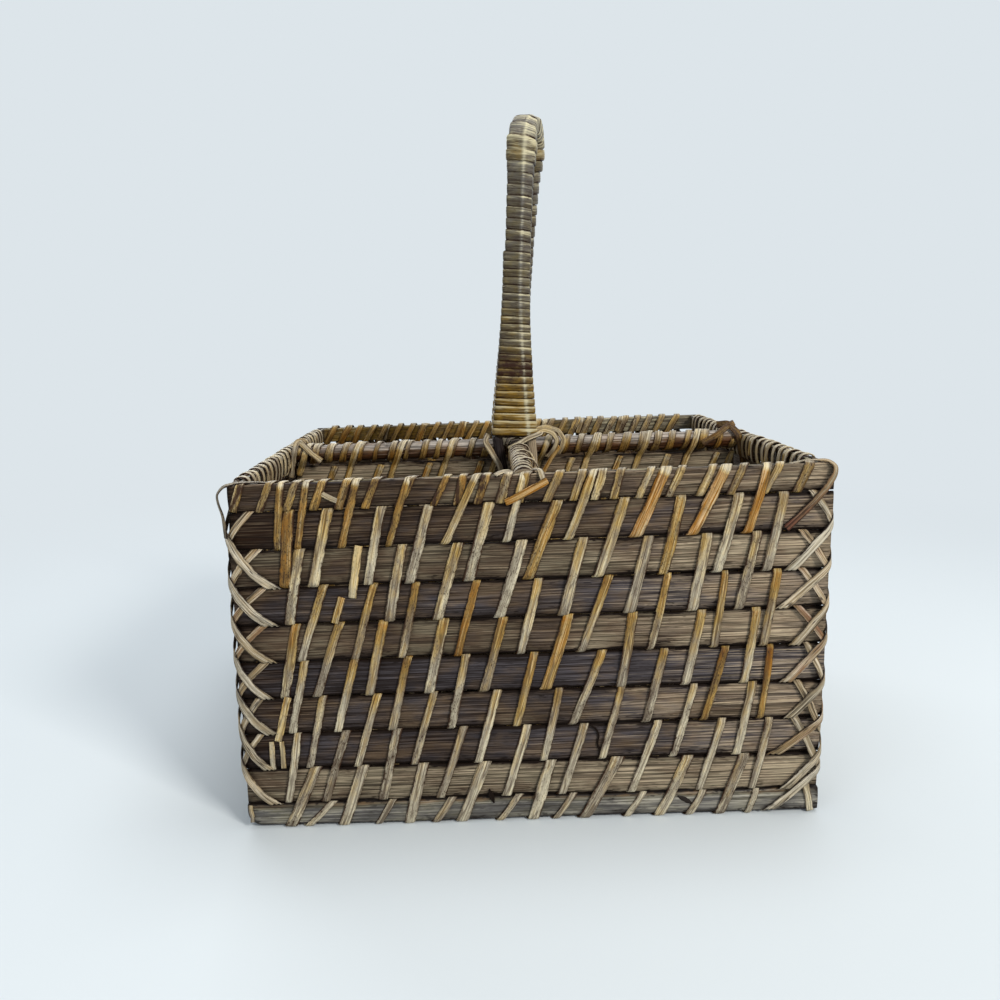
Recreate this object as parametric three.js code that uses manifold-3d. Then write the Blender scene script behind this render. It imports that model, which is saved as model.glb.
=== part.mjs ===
// Cutlery caddy: a box basket of bamboo slats and cane, with two crossed dividers and a tall loop handle.
// Millimetres, +Z up. The origin is the middle of the underside, and the front wall faces -Y.
import * as THREE from "three";
import Module from "manifold-3d";

const wasm = await Module();
wasm.setup();

// Walls
const basketWidth = 248; // outside of the side slats
const basketDepth = 226; // ends of the side slats
const wallRows = 8;
const slatHeight = 15.45;
const slatThickness = 1.8;
const slatGap = 0.9; // between rows, where the cane binders pass
const footHeight = 11;
const footThickness = 4;
const baseThickness = 3;

// Rim
const rimHeight = 10.6;
const rimGap = 1.7; // below the rim, where the whipping passes
const rimCoreGap = 1; // between rim slat and inner hoop, filled by the ends of the binders
const hoopCornerRadius = 4;
const rimPitch = 10.4; // from one turn of the rim whipping to the next
const rimEndSpace = 15; // bare rim at each corner

// Cane
const caneWidth = 3.8;
const caneThickness = 0.8;

// Corner lacing
const lacingWidth = 3.4;
const lacingReach = 17; // from the corner to the far hole of a strip
const lacingReturn = 12; // from the corner to its hole in the other wall
const lacingRise = 1.1; // rows between the far hole and the corner

// Dividers
const dividerThickness = 1.8;
const barDiameter = 10;
const barDrop = 1.6; // from the top of the rim down to the middle of the bars
const barPitch = 10; // from one turn of the bar whipping to the next

// Handle
const handleHeight = 316.4; // top of the core above the floor
const legDepth = 8; // front to back
const legTopWidth = 12;
const legBaseWidth = 22.5;
const flareHeight = 80; // over which the foot of a leg narrows
const loopGap = 16; // clear between the two legs of the core
const saddleGap = 0.4; // between a prong and the bar that it straddles
const prongLength = 92; // below the bars
const prongBend = 24; // height over which a prong turns in to the divider
const prongWidth = 5;
const handleLean = 9.2; // sideways at the top
const handleTwist = 16; // degrees at the top
const handleCurve = 1.6; // how late lean and twist come in: 1 is straight
const wrapTurns = 24; // on each half of the loop
const wrapSpacing = 1.1; // bare core between turns
const wrapSlack = 0.6; // between the core and the flat runs of the wrap

const fitGap = 0.35; // between pieces that touch

// Heights and half sizes that follow from these
const slatPitch = slatHeight + slatGap;
const wallTop = footHeight + wallRows * slatPitch;
const rimBottom = wallTop + rimGap;
const rimTop = rimBottom + rimHeight;
const halfWidth = basketWidth / 2;
const halfDepth = basketDepth / 2;
const rimDepth = 2 * slatThickness + rimCoreGap;
const barRadius = barDiameter / 2;
const barHeight = rimTop - barDrop;
const barInset = rimDepth + caneThickness + 2 * fitGap;
const barSides = 6; // straight runs in a turn of the bar whipping
const barCorner = 1 / Math.cos(Math.PI / barSides);
const panelTop = barHeight - (barRadius + caneThickness + fitGap) * barCorner - fitGap;
const legMiddle = loopGap / 2 + legDepth / 2;
const wrapCover = wrapSlack + caneThickness;
const crownHeight = handleHeight - legDepth / 2 - legMiddle;
const crotchHeight = barHeight + barRadius + saddleGap;

const slatLook = { color: 0x5f4c3a, roughness: 0.72 };
const rimLook = { color: 0x5b4637, roughness: 0.7 };
const footLook = { color: 0x6b5f4c, roughness: 0.55 };
const baseLook = { color: 0x6f5b43, roughness: 0.75 };
const dividerLook = { color: 0x8a7152, roughness: 0.75 };
const barLook = { color: 0x80624a, roughness: 0.65 };
const caneLook = { color: 0xb18f58, roughness: 0.6 };
const lacingLook = { color: 0xa39272, roughness: 0.62 };
const coreLook = { color: 0x87673f, roughness: 0.7 };
const wrapLook = { color: 0xa67b43, roughness: 0.55 };

const caddy = new THREE.Group();
caddy.name = "cutlery_caddy";

function addPiece(name, geometry, look) {
  const material = new THREE.MeshStandardMaterial({ ...look, metalness: 0 });
  const mesh = new THREE.Mesh(geometry, material);
  mesh.name = name;
  caddy.add(mesh);
}

// A box between two opposite corners
function boxBetween(low, high) {
  const size = high.clone().sub(low);
  const middle = high.clone().add(low).multiplyScalar(0.5);
  const geometry = new THREE.BoxGeometry(size.x, size.y, size.z);
  return geometry.translate(middle.x, middle.y, middle.z);
}

// A closed body through rings of points, each ring with the same number of corners in the same order
function loftRings(rings) {
  const corners = rings[0].length;
  const last = (rings.length - 1) * corners;
  const points = rings.flat().flatMap((p) => [p.x, p.y, p.z]);
  const faces = [];
  for (let ring = 0; ring + 1 < rings.length; ring++) {
    for (let side = 0; side < corners; side++) {
      const a = ring * corners + side;
      const b = ring * corners + ((side + 1) % corners);
      faces.push(a, b, a + corners, b, b + corners, a + corners);
    }
  }
  for (let side = 1; side + 1 < corners; side++) {
    faces.push(0, side + 1, side);
    faces.push(last, last + side, last + side + 1);
  }
  const geometry = new THREE.BufferGeometry();
  geometry.setAttribute("position", new THREE.Float32BufferAttribute(points, 3));
  geometry.setIndex(faces);
  return facingOut(geometry);
}

// The same geometry with its faces turned round if they point inwards
function facingOut(geometry) {
  const place = geometry.getAttribute("position");
  const order = geometry.getIndex();
  const corner = [0, 1, 2].map(() => new THREE.Vector3());
  let volume = 0;
  for (let i = 0; i < order.count; i += 3) {
    corner.forEach((p, j) => p.fromBufferAttribute(place, order.getX(i + j)));
    volume += corner[0].dot(corner[1].clone().cross(corner[2]));
  }
  if (volume > 0) return geometry;
  for (let i = 0; i < order.count; i += 3) {
    const swapped = order.getX(i + 1);
    order.setX(i + 1, order.getX(i + 2));
    order.setX(i + 2, swapped);
  }
  return geometry;
}

function toSolid(geometry) {
  const vertProperties = geometry.getAttribute("position").array;
  const triVerts = new Uint32Array(geometry.getIndex().array);
  return new wasm.Manifold(new wasm.Mesh({ numProp: 3, vertProperties, triVerts }));
}

// One geometry from several that cross each other
function joinAll(geometries) {
  const mesh = wasm.Manifold.union(geometries.map(toSolid)).getMesh();
  const geometry = new THREE.BufferGeometry();
  geometry.setAttribute("position", new THREE.Float32BufferAttribute(mesh.vertProperties, 3));
  geometry.setIndex([...mesh.triVerts]);
  return geometry;
}

// A winding is one strip of cane through rings of four points; its least gap to itself is printed
function addWinding(name, rings, ringsPerTurn, look) {
  let least = Infinity;
  rings.forEach((ring, i) => {
    for (let j = i + ringsPerTurn - 1; j <= i + ringsPerTurn + 1 && j < rings.length; j++) {
      ring.forEach((p) => rings[j].forEach((q) => (least = Math.min(least, p.distanceTo(q)))));
    }
  });
  console.log(name + ": least gap to itself " + least.toFixed(2) + " mm");
  addPiece(name, loftRings(rings), look);
}

// Walls: the front and back slats run the full width, and the side slats fit between them
function addWallRow(name, bottom, height, thickness, look) {
  const top = bottom + height;
  const reach = halfDepth - thickness - fitGap;
  const front = boxBetween(
    new THREE.Vector3(-halfWidth, -halfDepth, bottom),
    new THREE.Vector3(halfWidth, -halfDepth + thickness, top),
  );
  const left = boxBetween(
    new THREE.Vector3(-halfWidth, -reach, bottom),
    new THREE.Vector3(-halfWidth + thickness, reach, top),
  );
  addPiece("front_" + name, front, look);
  addPiece("back_" + name, front.clone().rotateZ(Math.PI), look);
  addPiece("left_" + name, left, look);
  addPiece("right_" + name, left.clone().rotateZ(Math.PI), look);
}

addWallRow("foot_strip", 0, footHeight, footThickness, footLook);
for (let row = 1; row <= wallRows; row++) {
  const bottom = footHeight + slatGap + (row - 1) * slatPitch;
  addWallRow("slat_" + row, bottom, slatHeight, slatThickness, slatLook);
}
addWallRow("rim_slat", rimBottom, rimHeight, slatThickness, rimLook);

// Base panel, flush with the foot strips on the floor
const baseReach = new THREE.Vector2(halfWidth - footThickness - fitGap, halfDepth - footThickness - fitGap);
const basePanel = boxBetween(
  new THREE.Vector3(-baseReach.x, -baseReach.y, 0),
  new THREE.Vector3(baseReach.x, baseReach.y, baseThickness),
);
addPiece("base_panel", basePanel, baseLook);

// Inner rim hoop: one strip bent round inside the rim slats
function roundedRectangle(outline, reachX, reachY, radius) {
  outline.moveTo(reachX, radius - reachY);
  outline.lineTo(reachX, reachY - radius);
  outline.absarc(reachX - radius, reachY - radius, radius, 0, Math.PI / 2);
  outline.lineTo(radius - reachX, reachY);
  outline.absarc(radius - reachX, reachY - radius, radius, Math.PI / 2, Math.PI);
  outline.lineTo(-reachX, radius - reachY);
  outline.absarc(radius - reachX, radius - reachY, radius, Math.PI, 1.5 * Math.PI);
  outline.lineTo(reachX - radius, -reachY);
  outline.absarc(reachX - radius, radius - reachY, radius, 1.5 * Math.PI, 2 * Math.PI);
  return outline;
}

const hoopInset = slatThickness + rimCoreGap;
const hoopShape = roundedRectangle(
  new THREE.Shape(),
  halfWidth - hoopInset,
  halfDepth - hoopInset,
  hoopCornerRadius,
);
const hoopInside = roundedRectangle(
  new THREE.Path(),
  halfWidth - rimDepth,
  halfDepth - rimDepth,
  hoopCornerRadius - slatThickness,
);
hoopShape.holes.push(hoopInside);
const hoopSettings = { depth: rimHeight, bevelEnabled: false, curveSegments: 4 };
const hoop = new THREE.ExtrudeGeometry(hoopShape, hoopSettings);
addPiece("inner_rim_hoop", hoop.translate(0, 0, rimBottom), rimLook);

// Rim whippings: each turn climbs the outside, crosses the top, drops inside and passes below the rim
function addRimWhipping(side, turn, faceDistance, halfLength) {
  const span = 2 * (halfLength - rimEndSpace) - caneWidth;
  const turns = Math.min(24, Math.floor(span / rimPitch));
  const start = -(turns * rimPitch) / 2;
  const outside = faceDistance + fitGap;
  const inside = faceDistance - rimDepth - fitGap;
  const below = rimBottom - fitGap;
  const above = rimTop + fitGap;
  const stops = [
    { along: 0, out: outside, up: below, outStep: 1, upStep: -1 },
    { along: 0.4, out: outside, up: above, outStep: 1, upStep: 1 },
    { along: 0.5, out: inside, up: above, outStep: -1, upStep: 1 },
    { along: 0.9, out: inside, up: below, outStep: -1, upStep: -1 },
  ];
  const rings = [];
  for (let step = 0; step <= turns * stops.length; step++) {
    const stop = stops[step % stops.length];
    const along = start + (Math.floor(step / stops.length) + stop.along) * rimPitch;
    const point = (shift, lift) =>
      new THREE.Vector3(
        along + shift,
        -(stop.out + lift * stop.outStep),
        stop.up + lift * stop.upStep,
      ).applyAxisAngle(new THREE.Vector3(0, 0, 1), turn);
    const half = caneWidth / 2;
    rings.push([point(-half, 0), point(half, 0), point(half, caneThickness), point(-half, caneThickness)]);
  }
  addWinding("rim_whipping_" + side, rings, stops.length, caneLook);
}

addRimWhipping("front", 0, halfDepth, halfWidth);
addRimWhipping("right", Math.PI / 2, halfWidth, halfDepth);
addRimWhipping("back", Math.PI, halfDepth, halfWidth);
addRimWhipping("left", -Math.PI / 2, halfWidth, halfDepth);

// Corner lacings: each strip of cane climbs two rows from a hole in one wall, round the corner, to the other
function addLacing(name, signX, signY) {
  const lowest = footHeight + slatGap / 2;
  const slope = Math.atan2(lacingRise * slatPitch, lacingReach);
  const half = lacingWidth / 2 / Math.cos(slope);
  const ringAt = (along, height) => {
    const point = (lift, up) => {
      const out = fitGap + lift;
      const x = halfWidth + (along < 0 ? along : out);
      const y = halfDepth + (along > 0 ? -along : out);
      return new THREE.Vector3(signX * x, signY * y, height + up);
    };
    return [point(0, -half), point(0, half), point(caneThickness, half), point(caneThickness, -half)];
  };
  const strips = [];
  for (let row = 0; row < wallRows - 1; row++) {
    const low = lowest + row * slatPitch;
    const corner = low + lacingRise * slatPitch;
    const high = low + 2 * slatPitch;
    strips.push(loftRings([ringAt(-lacingReach, low), ringAt(0, corner), ringAt(lacingReturn, high)]));
    strips.push(loftRings([ringAt(-lacingReturn, high), ringAt(0, corner), ringAt(lacingReach, low)]));
  }
  addPiece(name, joinAll(strips), lacingLook);
}

addLacing("corner_lacing_front_left", -1, -1);
addLacing("corner_lacing_front_right", 1, -1);
addLacing("corner_lacing_back_left", -1, 1);
addLacing("corner_lacing_back_right", 1, 1);

// Dividers: two panels slotted into each other, one from above and one from below
function dividerPanel(halfSpan, slotFromTop) {
  const low = baseThickness + fitGap;
  const ledge = footHeight + fitGap;
  const middle = (low + panelTop) / 2;
  const lowReach = halfSpan - footThickness - fitGap;
  const reach = halfSpan - slatThickness - fitGap;
  const rimReach = halfSpan - barInset;
  const slot = dividerThickness / 2 + fitGap;
  const outline = new THREE.Shape();
  outline.moveTo(-lowReach, low);
  if (!slotFromTop) {
    outline.lineTo(-slot, low);
    outline.lineTo(-slot, middle + fitGap / 2);
    outline.lineTo(slot, middle + fitGap / 2);
    outline.lineTo(slot, low);
  }
  outline.lineTo(lowReach, low);
  outline.lineTo(lowReach, ledge);
  outline.lineTo(reach, ledge);
  outline.lineTo(reach, wallTop);
  outline.lineTo(rimReach, wallTop);
  outline.lineTo(rimReach, panelTop);
  if (slotFromTop) {
    outline.lineTo(slot, panelTop);
    outline.lineTo(slot, middle - fitGap / 2);
    outline.lineTo(-slot, middle - fitGap / 2);
    outline.lineTo(-slot, panelTop);
  }
  outline.lineTo(-rimReach, panelTop);
  outline.lineTo(-rimReach, wallTop);
  outline.lineTo(-reach, wallTop);
  outline.lineTo(-reach, ledge);
  outline.lineTo(-lowReach, ledge);
  const panel = new THREE.ExtrudeGeometry(outline, { depth: dividerThickness, bevelEnabled: false });
  return panel.translate(0, 0, -dividerThickness / 2).rotateX(Math.PI / 2);
}

addPiece("cross_divider_panel", dividerPanel(halfWidth, true), dividerLook);
addPiece("long_divider_panel", dividerPanel(halfDepth, false).rotateZ(Math.PI / 2), dividerLook);

// Divider bars: the cross bar is whole, and the long bar stops on either side of it
const crossBarReach = halfWidth - barInset;
const longBarStart = barRadius + fitGap;
const longBarReach = halfDepth - barInset;
const crossBar = new THREE.CylinderGeometry(barRadius, barRadius, 2 * crossBarReach, 16);
addPiece("cross_divider_bar", crossBar.rotateZ(Math.PI / 2).translate(0, 0, barHeight), barLook);
const longBar = new THREE.CylinderGeometry(barRadius, barRadius, longBarReach - longBarStart, 16);
longBar.translate(0, -(longBarStart + longBarReach) / 2, barHeight);
addPiece("long_divider_bar_front", longBar, barLook);
addPiece("long_divider_bar_rear", longBar.clone().rotateZ(Math.PI), barLook);

// Bar whippings: six straight runs to a turn, and one long run past the handle between the two halves
function addBarWhipping(name, turn, reach, bare, runAngle) {
  const turns = Math.min(12, Math.floor((reach - bare - caneWidth / 2) / barPitch));
  const half = caneWidth / 2;
  const rings = [];
  for (let step = 0; step <= 2 * turns * barSides + 1; step++) {
    const rest = turns * barSides - step;
    const past = rest >= 0 ? -bare - (rest * barPitch) / barSides : bare - ((rest + 1) * barPitch) / barSides;
    const along = -past;
    const angle = runAngle + (step * 2 * Math.PI) / barSides;
    const point = (shift, lift) => {
      const radius = (barRadius + fitGap + lift) * barCorner;
      const height = barHeight + radius * Math.sin(angle);
      const place = new THREE.Vector3(along + shift, radius * Math.cos(angle), height);
      return place.applyAxisAngle(new THREE.Vector3(0, 0, 1), turn);
    };
    rings.push([point(-half, 0), point(half, 0), point(half, caneThickness), point(-half, caneThickness)]);
  }
  addWinding(name, rings, barSides, caneLook);
}

const pastLegs = wrapCover + caneWidth / 2 + fitGap;
const runOnTop = Math.PI / 3;
const runBelow = (4 * Math.PI) / 3;
addBarWhipping("cross_bar_whipping", 0, crossBarReach, legBaseWidth / 2 + pastLegs, runOnTop);
addBarWhipping("long_bar_whipping", Math.PI / 2, longBarReach, loopGap / 2 + legDepth + pastLegs, runBelow);

// Handle path, measured from the foot of the near leg, over the crown and down the far leg
const legLength = crownHeight - crotchHeight;
const crownLength = Math.PI * legMiddle;
const loopLength = 2 * legLength + crownLength;

// Half the width of the core: flared at the foot of each leg
function halfCore(along) {
  const fromFoot = Math.min(along, loopLength - along);
  const open = Math.max(0, 1 - fromFoot / flareHeight);
  return (legTopWidth + (legBaseWidth - legTopWidth) * open ** 1.5) / 2;
}

// A point beside the path: a distance sideways, and a distance out from the middle of the core
function besideLoop(along, sideways, out) {
  const turned = Math.min(Math.max((along - legLength) / legMiddle, 0), Math.PI);
  const below = Math.max(legLength - along, along - legLength - crownLength, 0);
  const radius = legMiddle + out;
  const place = new THREE.Vector3(
    sideways,
    -radius * Math.cos(turned),
    crownHeight - below + radius * Math.sin(turned),
  );
  const rise = Math.max(0, (place.z - crotchHeight) / (handleHeight - crotchHeight)) ** handleCurve;
  place.applyAxisAngle(new THREE.Vector3(0, 0, 1), THREE.MathUtils.degToRad(handleTwist) * -rise);
  place.x += handleLean * rise;
  return place;
}

// Handle core: the loop, and four prongs that straddle the long bar and turn in to the long divider
const legSteps = 12;
const crownSteps = 12;
const coreStops = [];
for (let step = 0; step < legSteps; step++) {
  coreStops.push((step * legLength) / legSteps);
}
for (let step = 0; step <= crownSteps; step++) {
  coreStops.push(legLength + (step * crownLength) / crownSteps);
}
for (let step = 1; step <= legSteps; step++) {
  coreStops.push(legLength + crownLength + (step * legLength) / legSteps);
}
const coreRings = coreStops.map((along) => {
  const side = halfCore(along);
  const half = legDepth / 2;
  return [
    besideLoop(along, -side, -half),
    besideLoop(along, side, -half),
    besideLoop(along, side, half),
    besideLoop(along, -side, half),
  ];
});

function prong(signX, signY) {
  const shoulder = barHeight - barRadius - saddleGap;
  const besideBar = barRadius + saddleGap;
  const besidePanel = dividerThickness / 2 + fitGap;
  const stops = [
    { up: crotchHeight + 1, inner: besideBar, outer: legBaseWidth / 2 },
    { up: shoulder, inner: besideBar, outer: legBaseWidth / 2 },
    { up: shoulder - prongBend, inner: besidePanel, outer: besidePanel + prongWidth },
    { up: barHeight - prongLength, inner: besidePanel, outer: besidePanel + prongWidth },
  ];
  const near = loopGap / 2;
  const far = loopGap / 2 + legDepth;
  const rings = stops.map(({ up, inner, outer }) => [
    new THREE.Vector3(signX * inner, signY * near, up),
    new THREE.Vector3(signX * outer, signY * near, up),
    new THREE.Vector3(signX * outer, signY * far, up),
    new THREE.Vector3(signX * inner, signY * far, up),
  ]);
  return loftRings(rings);
}

const prongs = [prong(-1, -1), prong(1, -1), prong(-1, 1), prong(1, 1)];
addPiece("handle_core", joinAll([loftRings(coreRings), ...prongs]), coreLook);

// Handle wraps: each covers one leg and its half of the crown
function addWrap(name, from, to) {
  const stops = [
    { share: 0, side: -1, out: 1 },
    { share: 0.36, side: 1, out: 1 },
    { share: 0.5, side: 1, out: -1 },
    { share: 0.86, side: -1, out: -1 },
  ];
  const pitch = (to - from) / (wrapTurns + stops[3].share);
  const half = (pitch - Math.sign(pitch) * wrapSpacing) / 2;
  const rings = [];
  for (let step = 0; step < wrapTurns * stops.length; step++) {
    const stop = stops[step % stops.length];
    const along = from + half + (Math.floor(step / stops.length) + stop.share) * pitch;
    const point = (shift, lift) => {
      const at = along + shift;
      const cover = wrapSlack + lift;
      return besideLoop(at, stop.side * (halfCore(at) + cover), stop.out * (legDepth / 2 + cover));
    };
    rings.push([point(-half, 0), point(half, 0), point(half, caneThickness), point(-half, caneThickness)]);
  }
  addWinding(name, rings, stops.length, wrapLook);
}

addWrap("handle_wrap_near", 0, loopLength / 2);
addWrap("handle_wrap_far", loopLength, loopLength / 2);

export default caddy;
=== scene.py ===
import math

import bpy
import numpy as np
from mathutils import Matrix, Vector


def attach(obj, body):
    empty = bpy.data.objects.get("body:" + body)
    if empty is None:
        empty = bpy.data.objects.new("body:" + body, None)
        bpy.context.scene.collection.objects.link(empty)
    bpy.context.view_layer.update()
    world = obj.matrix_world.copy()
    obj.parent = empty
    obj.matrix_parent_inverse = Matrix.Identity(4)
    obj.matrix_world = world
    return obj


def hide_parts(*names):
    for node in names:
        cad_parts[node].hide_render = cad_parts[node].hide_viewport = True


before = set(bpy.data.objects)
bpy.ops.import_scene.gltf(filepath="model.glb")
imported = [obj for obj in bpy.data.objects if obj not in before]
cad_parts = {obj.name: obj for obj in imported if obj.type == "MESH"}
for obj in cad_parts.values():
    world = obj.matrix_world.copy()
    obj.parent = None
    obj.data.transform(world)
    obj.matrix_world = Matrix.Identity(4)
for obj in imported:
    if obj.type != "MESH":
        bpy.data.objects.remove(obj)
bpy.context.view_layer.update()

print("frame loaded:", len(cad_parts), "solids")

# Millimetres, as in the part's source. The weaver left the right side a little taller than the left
basket = {
    "halfWidth": 124.0, "halfDepth": 113.0, "pitch": 16.35, "firstGap": 11.45, "seam": 0.35,
    "slat": 1.8, "foot": 4.0, "footBottom": 0.8, "rimBottom": 142.6, "rimTop": 153.7,
    "hoopOut": -2.8, "hoopNarrower": 2.2, "tallerPerMm": 1.28e-4,
    # how far the side walls' foot strips stop short, and how far the slit below the back rim goes up and down
    "footInset": 2.2, "slit": (2.1, 0.6),
}
walls = ("front", "right", "back", "left")
gaps = [basket["firstGap"] + basket["pitch"] * k for k in range(9)]  # seams between rows, from the foot up
rimTop = basket["rimTop"]


# sRGB hex to linear light: a straight part near black, then a power of 2.4
def linear(hexColour):
    channels = np.array([int(hexColour[k:k + 2], 16) for k in (1, 3, 5)]) / 255
    return (*np.where(channels <= 0.04045, channels / 12.92, ((channels + 0.055) / 1.055) ** 2.4), 1.0)


# Adds a shader node, sets its properties, fills or links its inputs and returns one of its outputs
def addNode(tree, kind, inputs=None, out=0, **settings):
    node = tree.nodes.new("ShaderNode" + kind)
    for key, value in settings.items():
        setattr(node, key, value)
    for socket, value in (inputs or {}).items():
        if isinstance(value, bpy.types.NodeSocket):
            tree.links.new(value, node.inputs[socket])
        else:
            node.inputs[socket].default_value = value
    return node.outputs[out]


# A strand material reads the strand's own map in mm (along, across) and its tint: tone, warmth, and stain
# together with painted shade
def strandMaterial(name, look):
    material = bpy.data.materials.new(name)
    material.use_nodes = True
    tree = material.node_tree
    shader = tree.nodes["Principled BSDF"]
    strand = addNode(tree, "UVMap", uv_map="strand")
    tint = addNode(tree, "Attribute", attribute_name="tint")
    tone, warmth, stainAndShade = addNode(tree, "SeparateColor", {0: tint}).node.outputs[:3]

    # each grain is noise stretched along the strand, from -0.5 to 0.5
    grain = {}
    for kind, (along, across, detail) in look["grain"].items():
        place = addNode(tree, "Mapping", {"Vector": strand, "Scale": (1 / along, 1 / across, 1)})
        noise = addNode(tree, "TexNoise", {"Vector": place, "Scale": 1.0, "Detail": detail, "Roughness": 0.6},
                        noise_dimensions="2D")
        grain[kind] = addNode(tree, "MapRange", {0: noise, 1: 0.33, 2: 0.67, 3: -0.5, 4: 0.5})
    # a hairline runs where its noise crosses the middle, and a speck stands where its noise peaks
    crossing = addNode(tree, "Math", {0: grain["hair"]}, operation="ABSOLUTE")
    hair = addNode(tree, "MapRange", {0: crossing, 1: 0.4 * look["hairWidth"], 2: look["hairWidth"],
                                      3: look["hairs"], 4: 0.0})
    speck = addNode(tree, "MapRange", {0: grain["speck"], 1: 0.18, 2: 0.42, 3: 0.0, 4: look["specks"]})
    soil = addNode(tree, "Math", {0: stainAndShade, 1: 3.0, 2: 0.3}, operation="MULTIPLY_ADD", use_clamp=True)
    speck = addNode(tree, "Math", {0: speck, 1: soil}, operation="MULTIPLY")

    # colour: grey, middle and warm by warmth, darker or brighter by tone, then stains and painted shade, specks
    # and hairlines
    colour = {key: linear(look[key]) for key in ("cool", "middle", "warm", "shade", "bright", "stainAndShade")}
    warm = addNode(tree, "Math", {0: grain["blotch"], 1: look["drift"], 2: warmth}, operation="MULTIPLY_ADD")
    toMiddle = addNode(tree, "MapRange", {0: warm, 1: 0.0, 2: 0.5})
    toWarm = addNode(tree, "MapRange", {0: warm, 1: 0.5, 2: 1.0})
    body = colour["cool"]
    for share, target in ((toMiddle, "middle"), (toWarm, "warm")):
        body = addNode(tree, "Mix", {0: share, 6: body, 7: colour[target]}, 2, data_type="RGBA")
    light = addNode(tree, "Math", {0: grain["streak"], 1: look["streaks"], 2: tone}, operation="MULTIPLY_ADD")
    light = addNode(tree, "Math", {0: grain["fibre"], 1: look["lines"], 2: light}, operation="MULTIPLY_ADD",
                    use_clamp=True)
    dark = addNode(tree, "Mix", {0: 1.0, 6: body, 7: colour["shade"]}, 2, data_type="RGBA",
                   blend_type="MULTIPLY")
    body = addNode(tree, "Mix", {0: light, 6: dark, 7: body}, 2, data_type="RGBA")
    shine = addNode(tree, "MapRange", {0: light, 1: 0.60, 2: 1.0, 3: 0.0, 4: look["washed"]})
    body = addNode(tree, "Mix", {0: shine, 6: body, 7: colour["bright"]}, 2, data_type="RGBA")
    patchy = addNode(tree, "Math", {0: stainAndShade, 1: -look["patchy"], 2: -look["mottle"]}, operation="MULTIPLY_ADD")
    darkened = addNode(tree, "Math", {0: grain["blotch"], 1: patchy, 2: stainAndShade}, operation="MULTIPLY_ADD")
    darkened = addNode(tree, "Math", {0: darkened, 1: speck}, operation="ADD", use_clamp=True)
    darkened = addNode(tree, "Math", {0: darkened, 1: hair}, operation="MAXIMUM", use_clamp=True)
    body = addNode(tree, "Mix", {0: darkened, 6: body, 7: colour["stainAndShade"]}, 2, data_type="RGBA")
    tree.links.new(body, shader.inputs["Base Color"])

    # finish: the grain breaks up an old thin varnish, and hairlines are open cracks
    rough = addNode(tree, "Math", {0: grain["fibre"], 1: -0.16, 2: look["rough"]}, operation="MULTIPLY_ADD")
    tree.links.new(rough, shader.inputs["Roughness"])
    shader.inputs["IOR"].default_value = 1.5
    shader.inputs["Specular IOR Level"].default_value = look["gloss"]
    height = addNode(tree, "Math", {0: grain["fibre"], 1: hair}, operation="SUBTRACT")
    relief = addNode(tree, "Bump", {"Height": height, "Strength": look["relief"], "Distance": 0.0003})
    tree.links.new(relief, shader.inputs["Normal"])
    return material


# Split bamboo, weathered: dull, straight fibres half a millimetre apart, purple-grey to tan, dark cracks
agedSplitBamboo = strandMaterial("aged_split_bamboo", {
    "grain": {"fibre": (40, 0.55, 2), "streak": (70, 2.2, 2), "blotch": (24, 8, 3), "hair": (90, 1.25, 1),
              "speck": (7, 0.8, 2)},
    "cool": "#6a656a", "middle": "#89745e", "warm": "#a1957c", "shade": "#4a3627", "bright": "#c4b094",
    "stainAndShade": "#150b05", "drift": 0.56, "streaks": 0.16, "lines": 0.40, "mottle": 0.26, "hairs": 0.70,
    "hairWidth": 0.21, "specks": 0.45, "patchy": 0.8, "washed": 0.85, "rough": 0.60, "gloss": 0.10,
    "relief": 0.6})
# Bamboo with its skin on: smoother, grey-olive, a few long scratches and stains, a soft sheen
bambooSkin = strandMaterial("bamboo_skin_foot", {
    "grain": {"fibre": (60, 0.8, 3), "streak": (90, 3.4, 2), "blotch": (18, 6, 3), "hair": (60, 2.0, 2),
              "speck": (5, 1.2, 2)},
    "cool": "#7d7b78", "middle": "#8b8672", "warm": "#8c6e4c", "shade": "#62584f", "bright": "#b0aa9c",
    "stainAndShade": "#1f1813", "drift": 0.5, "streaks": 0.35, "lines": 0.50, "mottle": 0.50, "hairs": 0.55,
    "hairWidth": 0.08, "specks": 0.5, "patchy": 0.8, "washed": 0.85, "rough": 0.46, "gloss": 0.2,
    "relief": 0.35})
# Flat rattan cane, split and shaved: cream and straw to gold, a soft sheen, hairline cracks, grey where worn
flatCane = strandMaterial("flat_rattan_cane", {
    "grain": {"fibre": (20, 0.45, 3), "streak": (26, 1.3, 2), "blotch": (9, 2.8, 3), "hair": (40, 2.2, 1),
              "speck": (1.2, 0.5, 2)},
    "cool": "#c5bba5", "middle": "#d0ae62", "warm": "#c08220", "shade": "#6b5640", "bright": "#ebe0be",
    "stainAndShade": "#382210", "drift": 0.34, "streaks": 0.34, "lines": 0.40, "mottle": 0.22, "hairs": 0.62,
    "hairWidth": 0.13, "specks": 0.50, "patchy": 1.8, "washed": 0.55, "rough": 0.46, "gloss": 0.2,
    "relief": 0.5})
# Cane handled for years at the corners: beige to grey, duller
cornerCane = strandMaterial("weathered_corner_cane", {
    "grain": {"fibre": (24, 0.45, 3), "streak": (30, 1.5, 2), "blotch": (9, 3.0, 3), "hair": (36, 1.6, 1),
              "speck": (2.6, 1.0, 2)},
    "cool": "#b6ab92", "middle": "#b69c70", "warm": "#96604a", "shade": "#665749", "bright": "#e4dac6",
    "stainAndShade": "#22150e", "drift": 0.30, "streaks": 0.32, "lines": 0.32, "mottle": 0.28, "hairs": 0.8,
    "hairWidth": 0.10, "specks": 0.34, "patchy": 1.2, "washed": 0.7, "rough": 0.50, "gloss": 0.18,
    "relief": 0.45})
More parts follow.
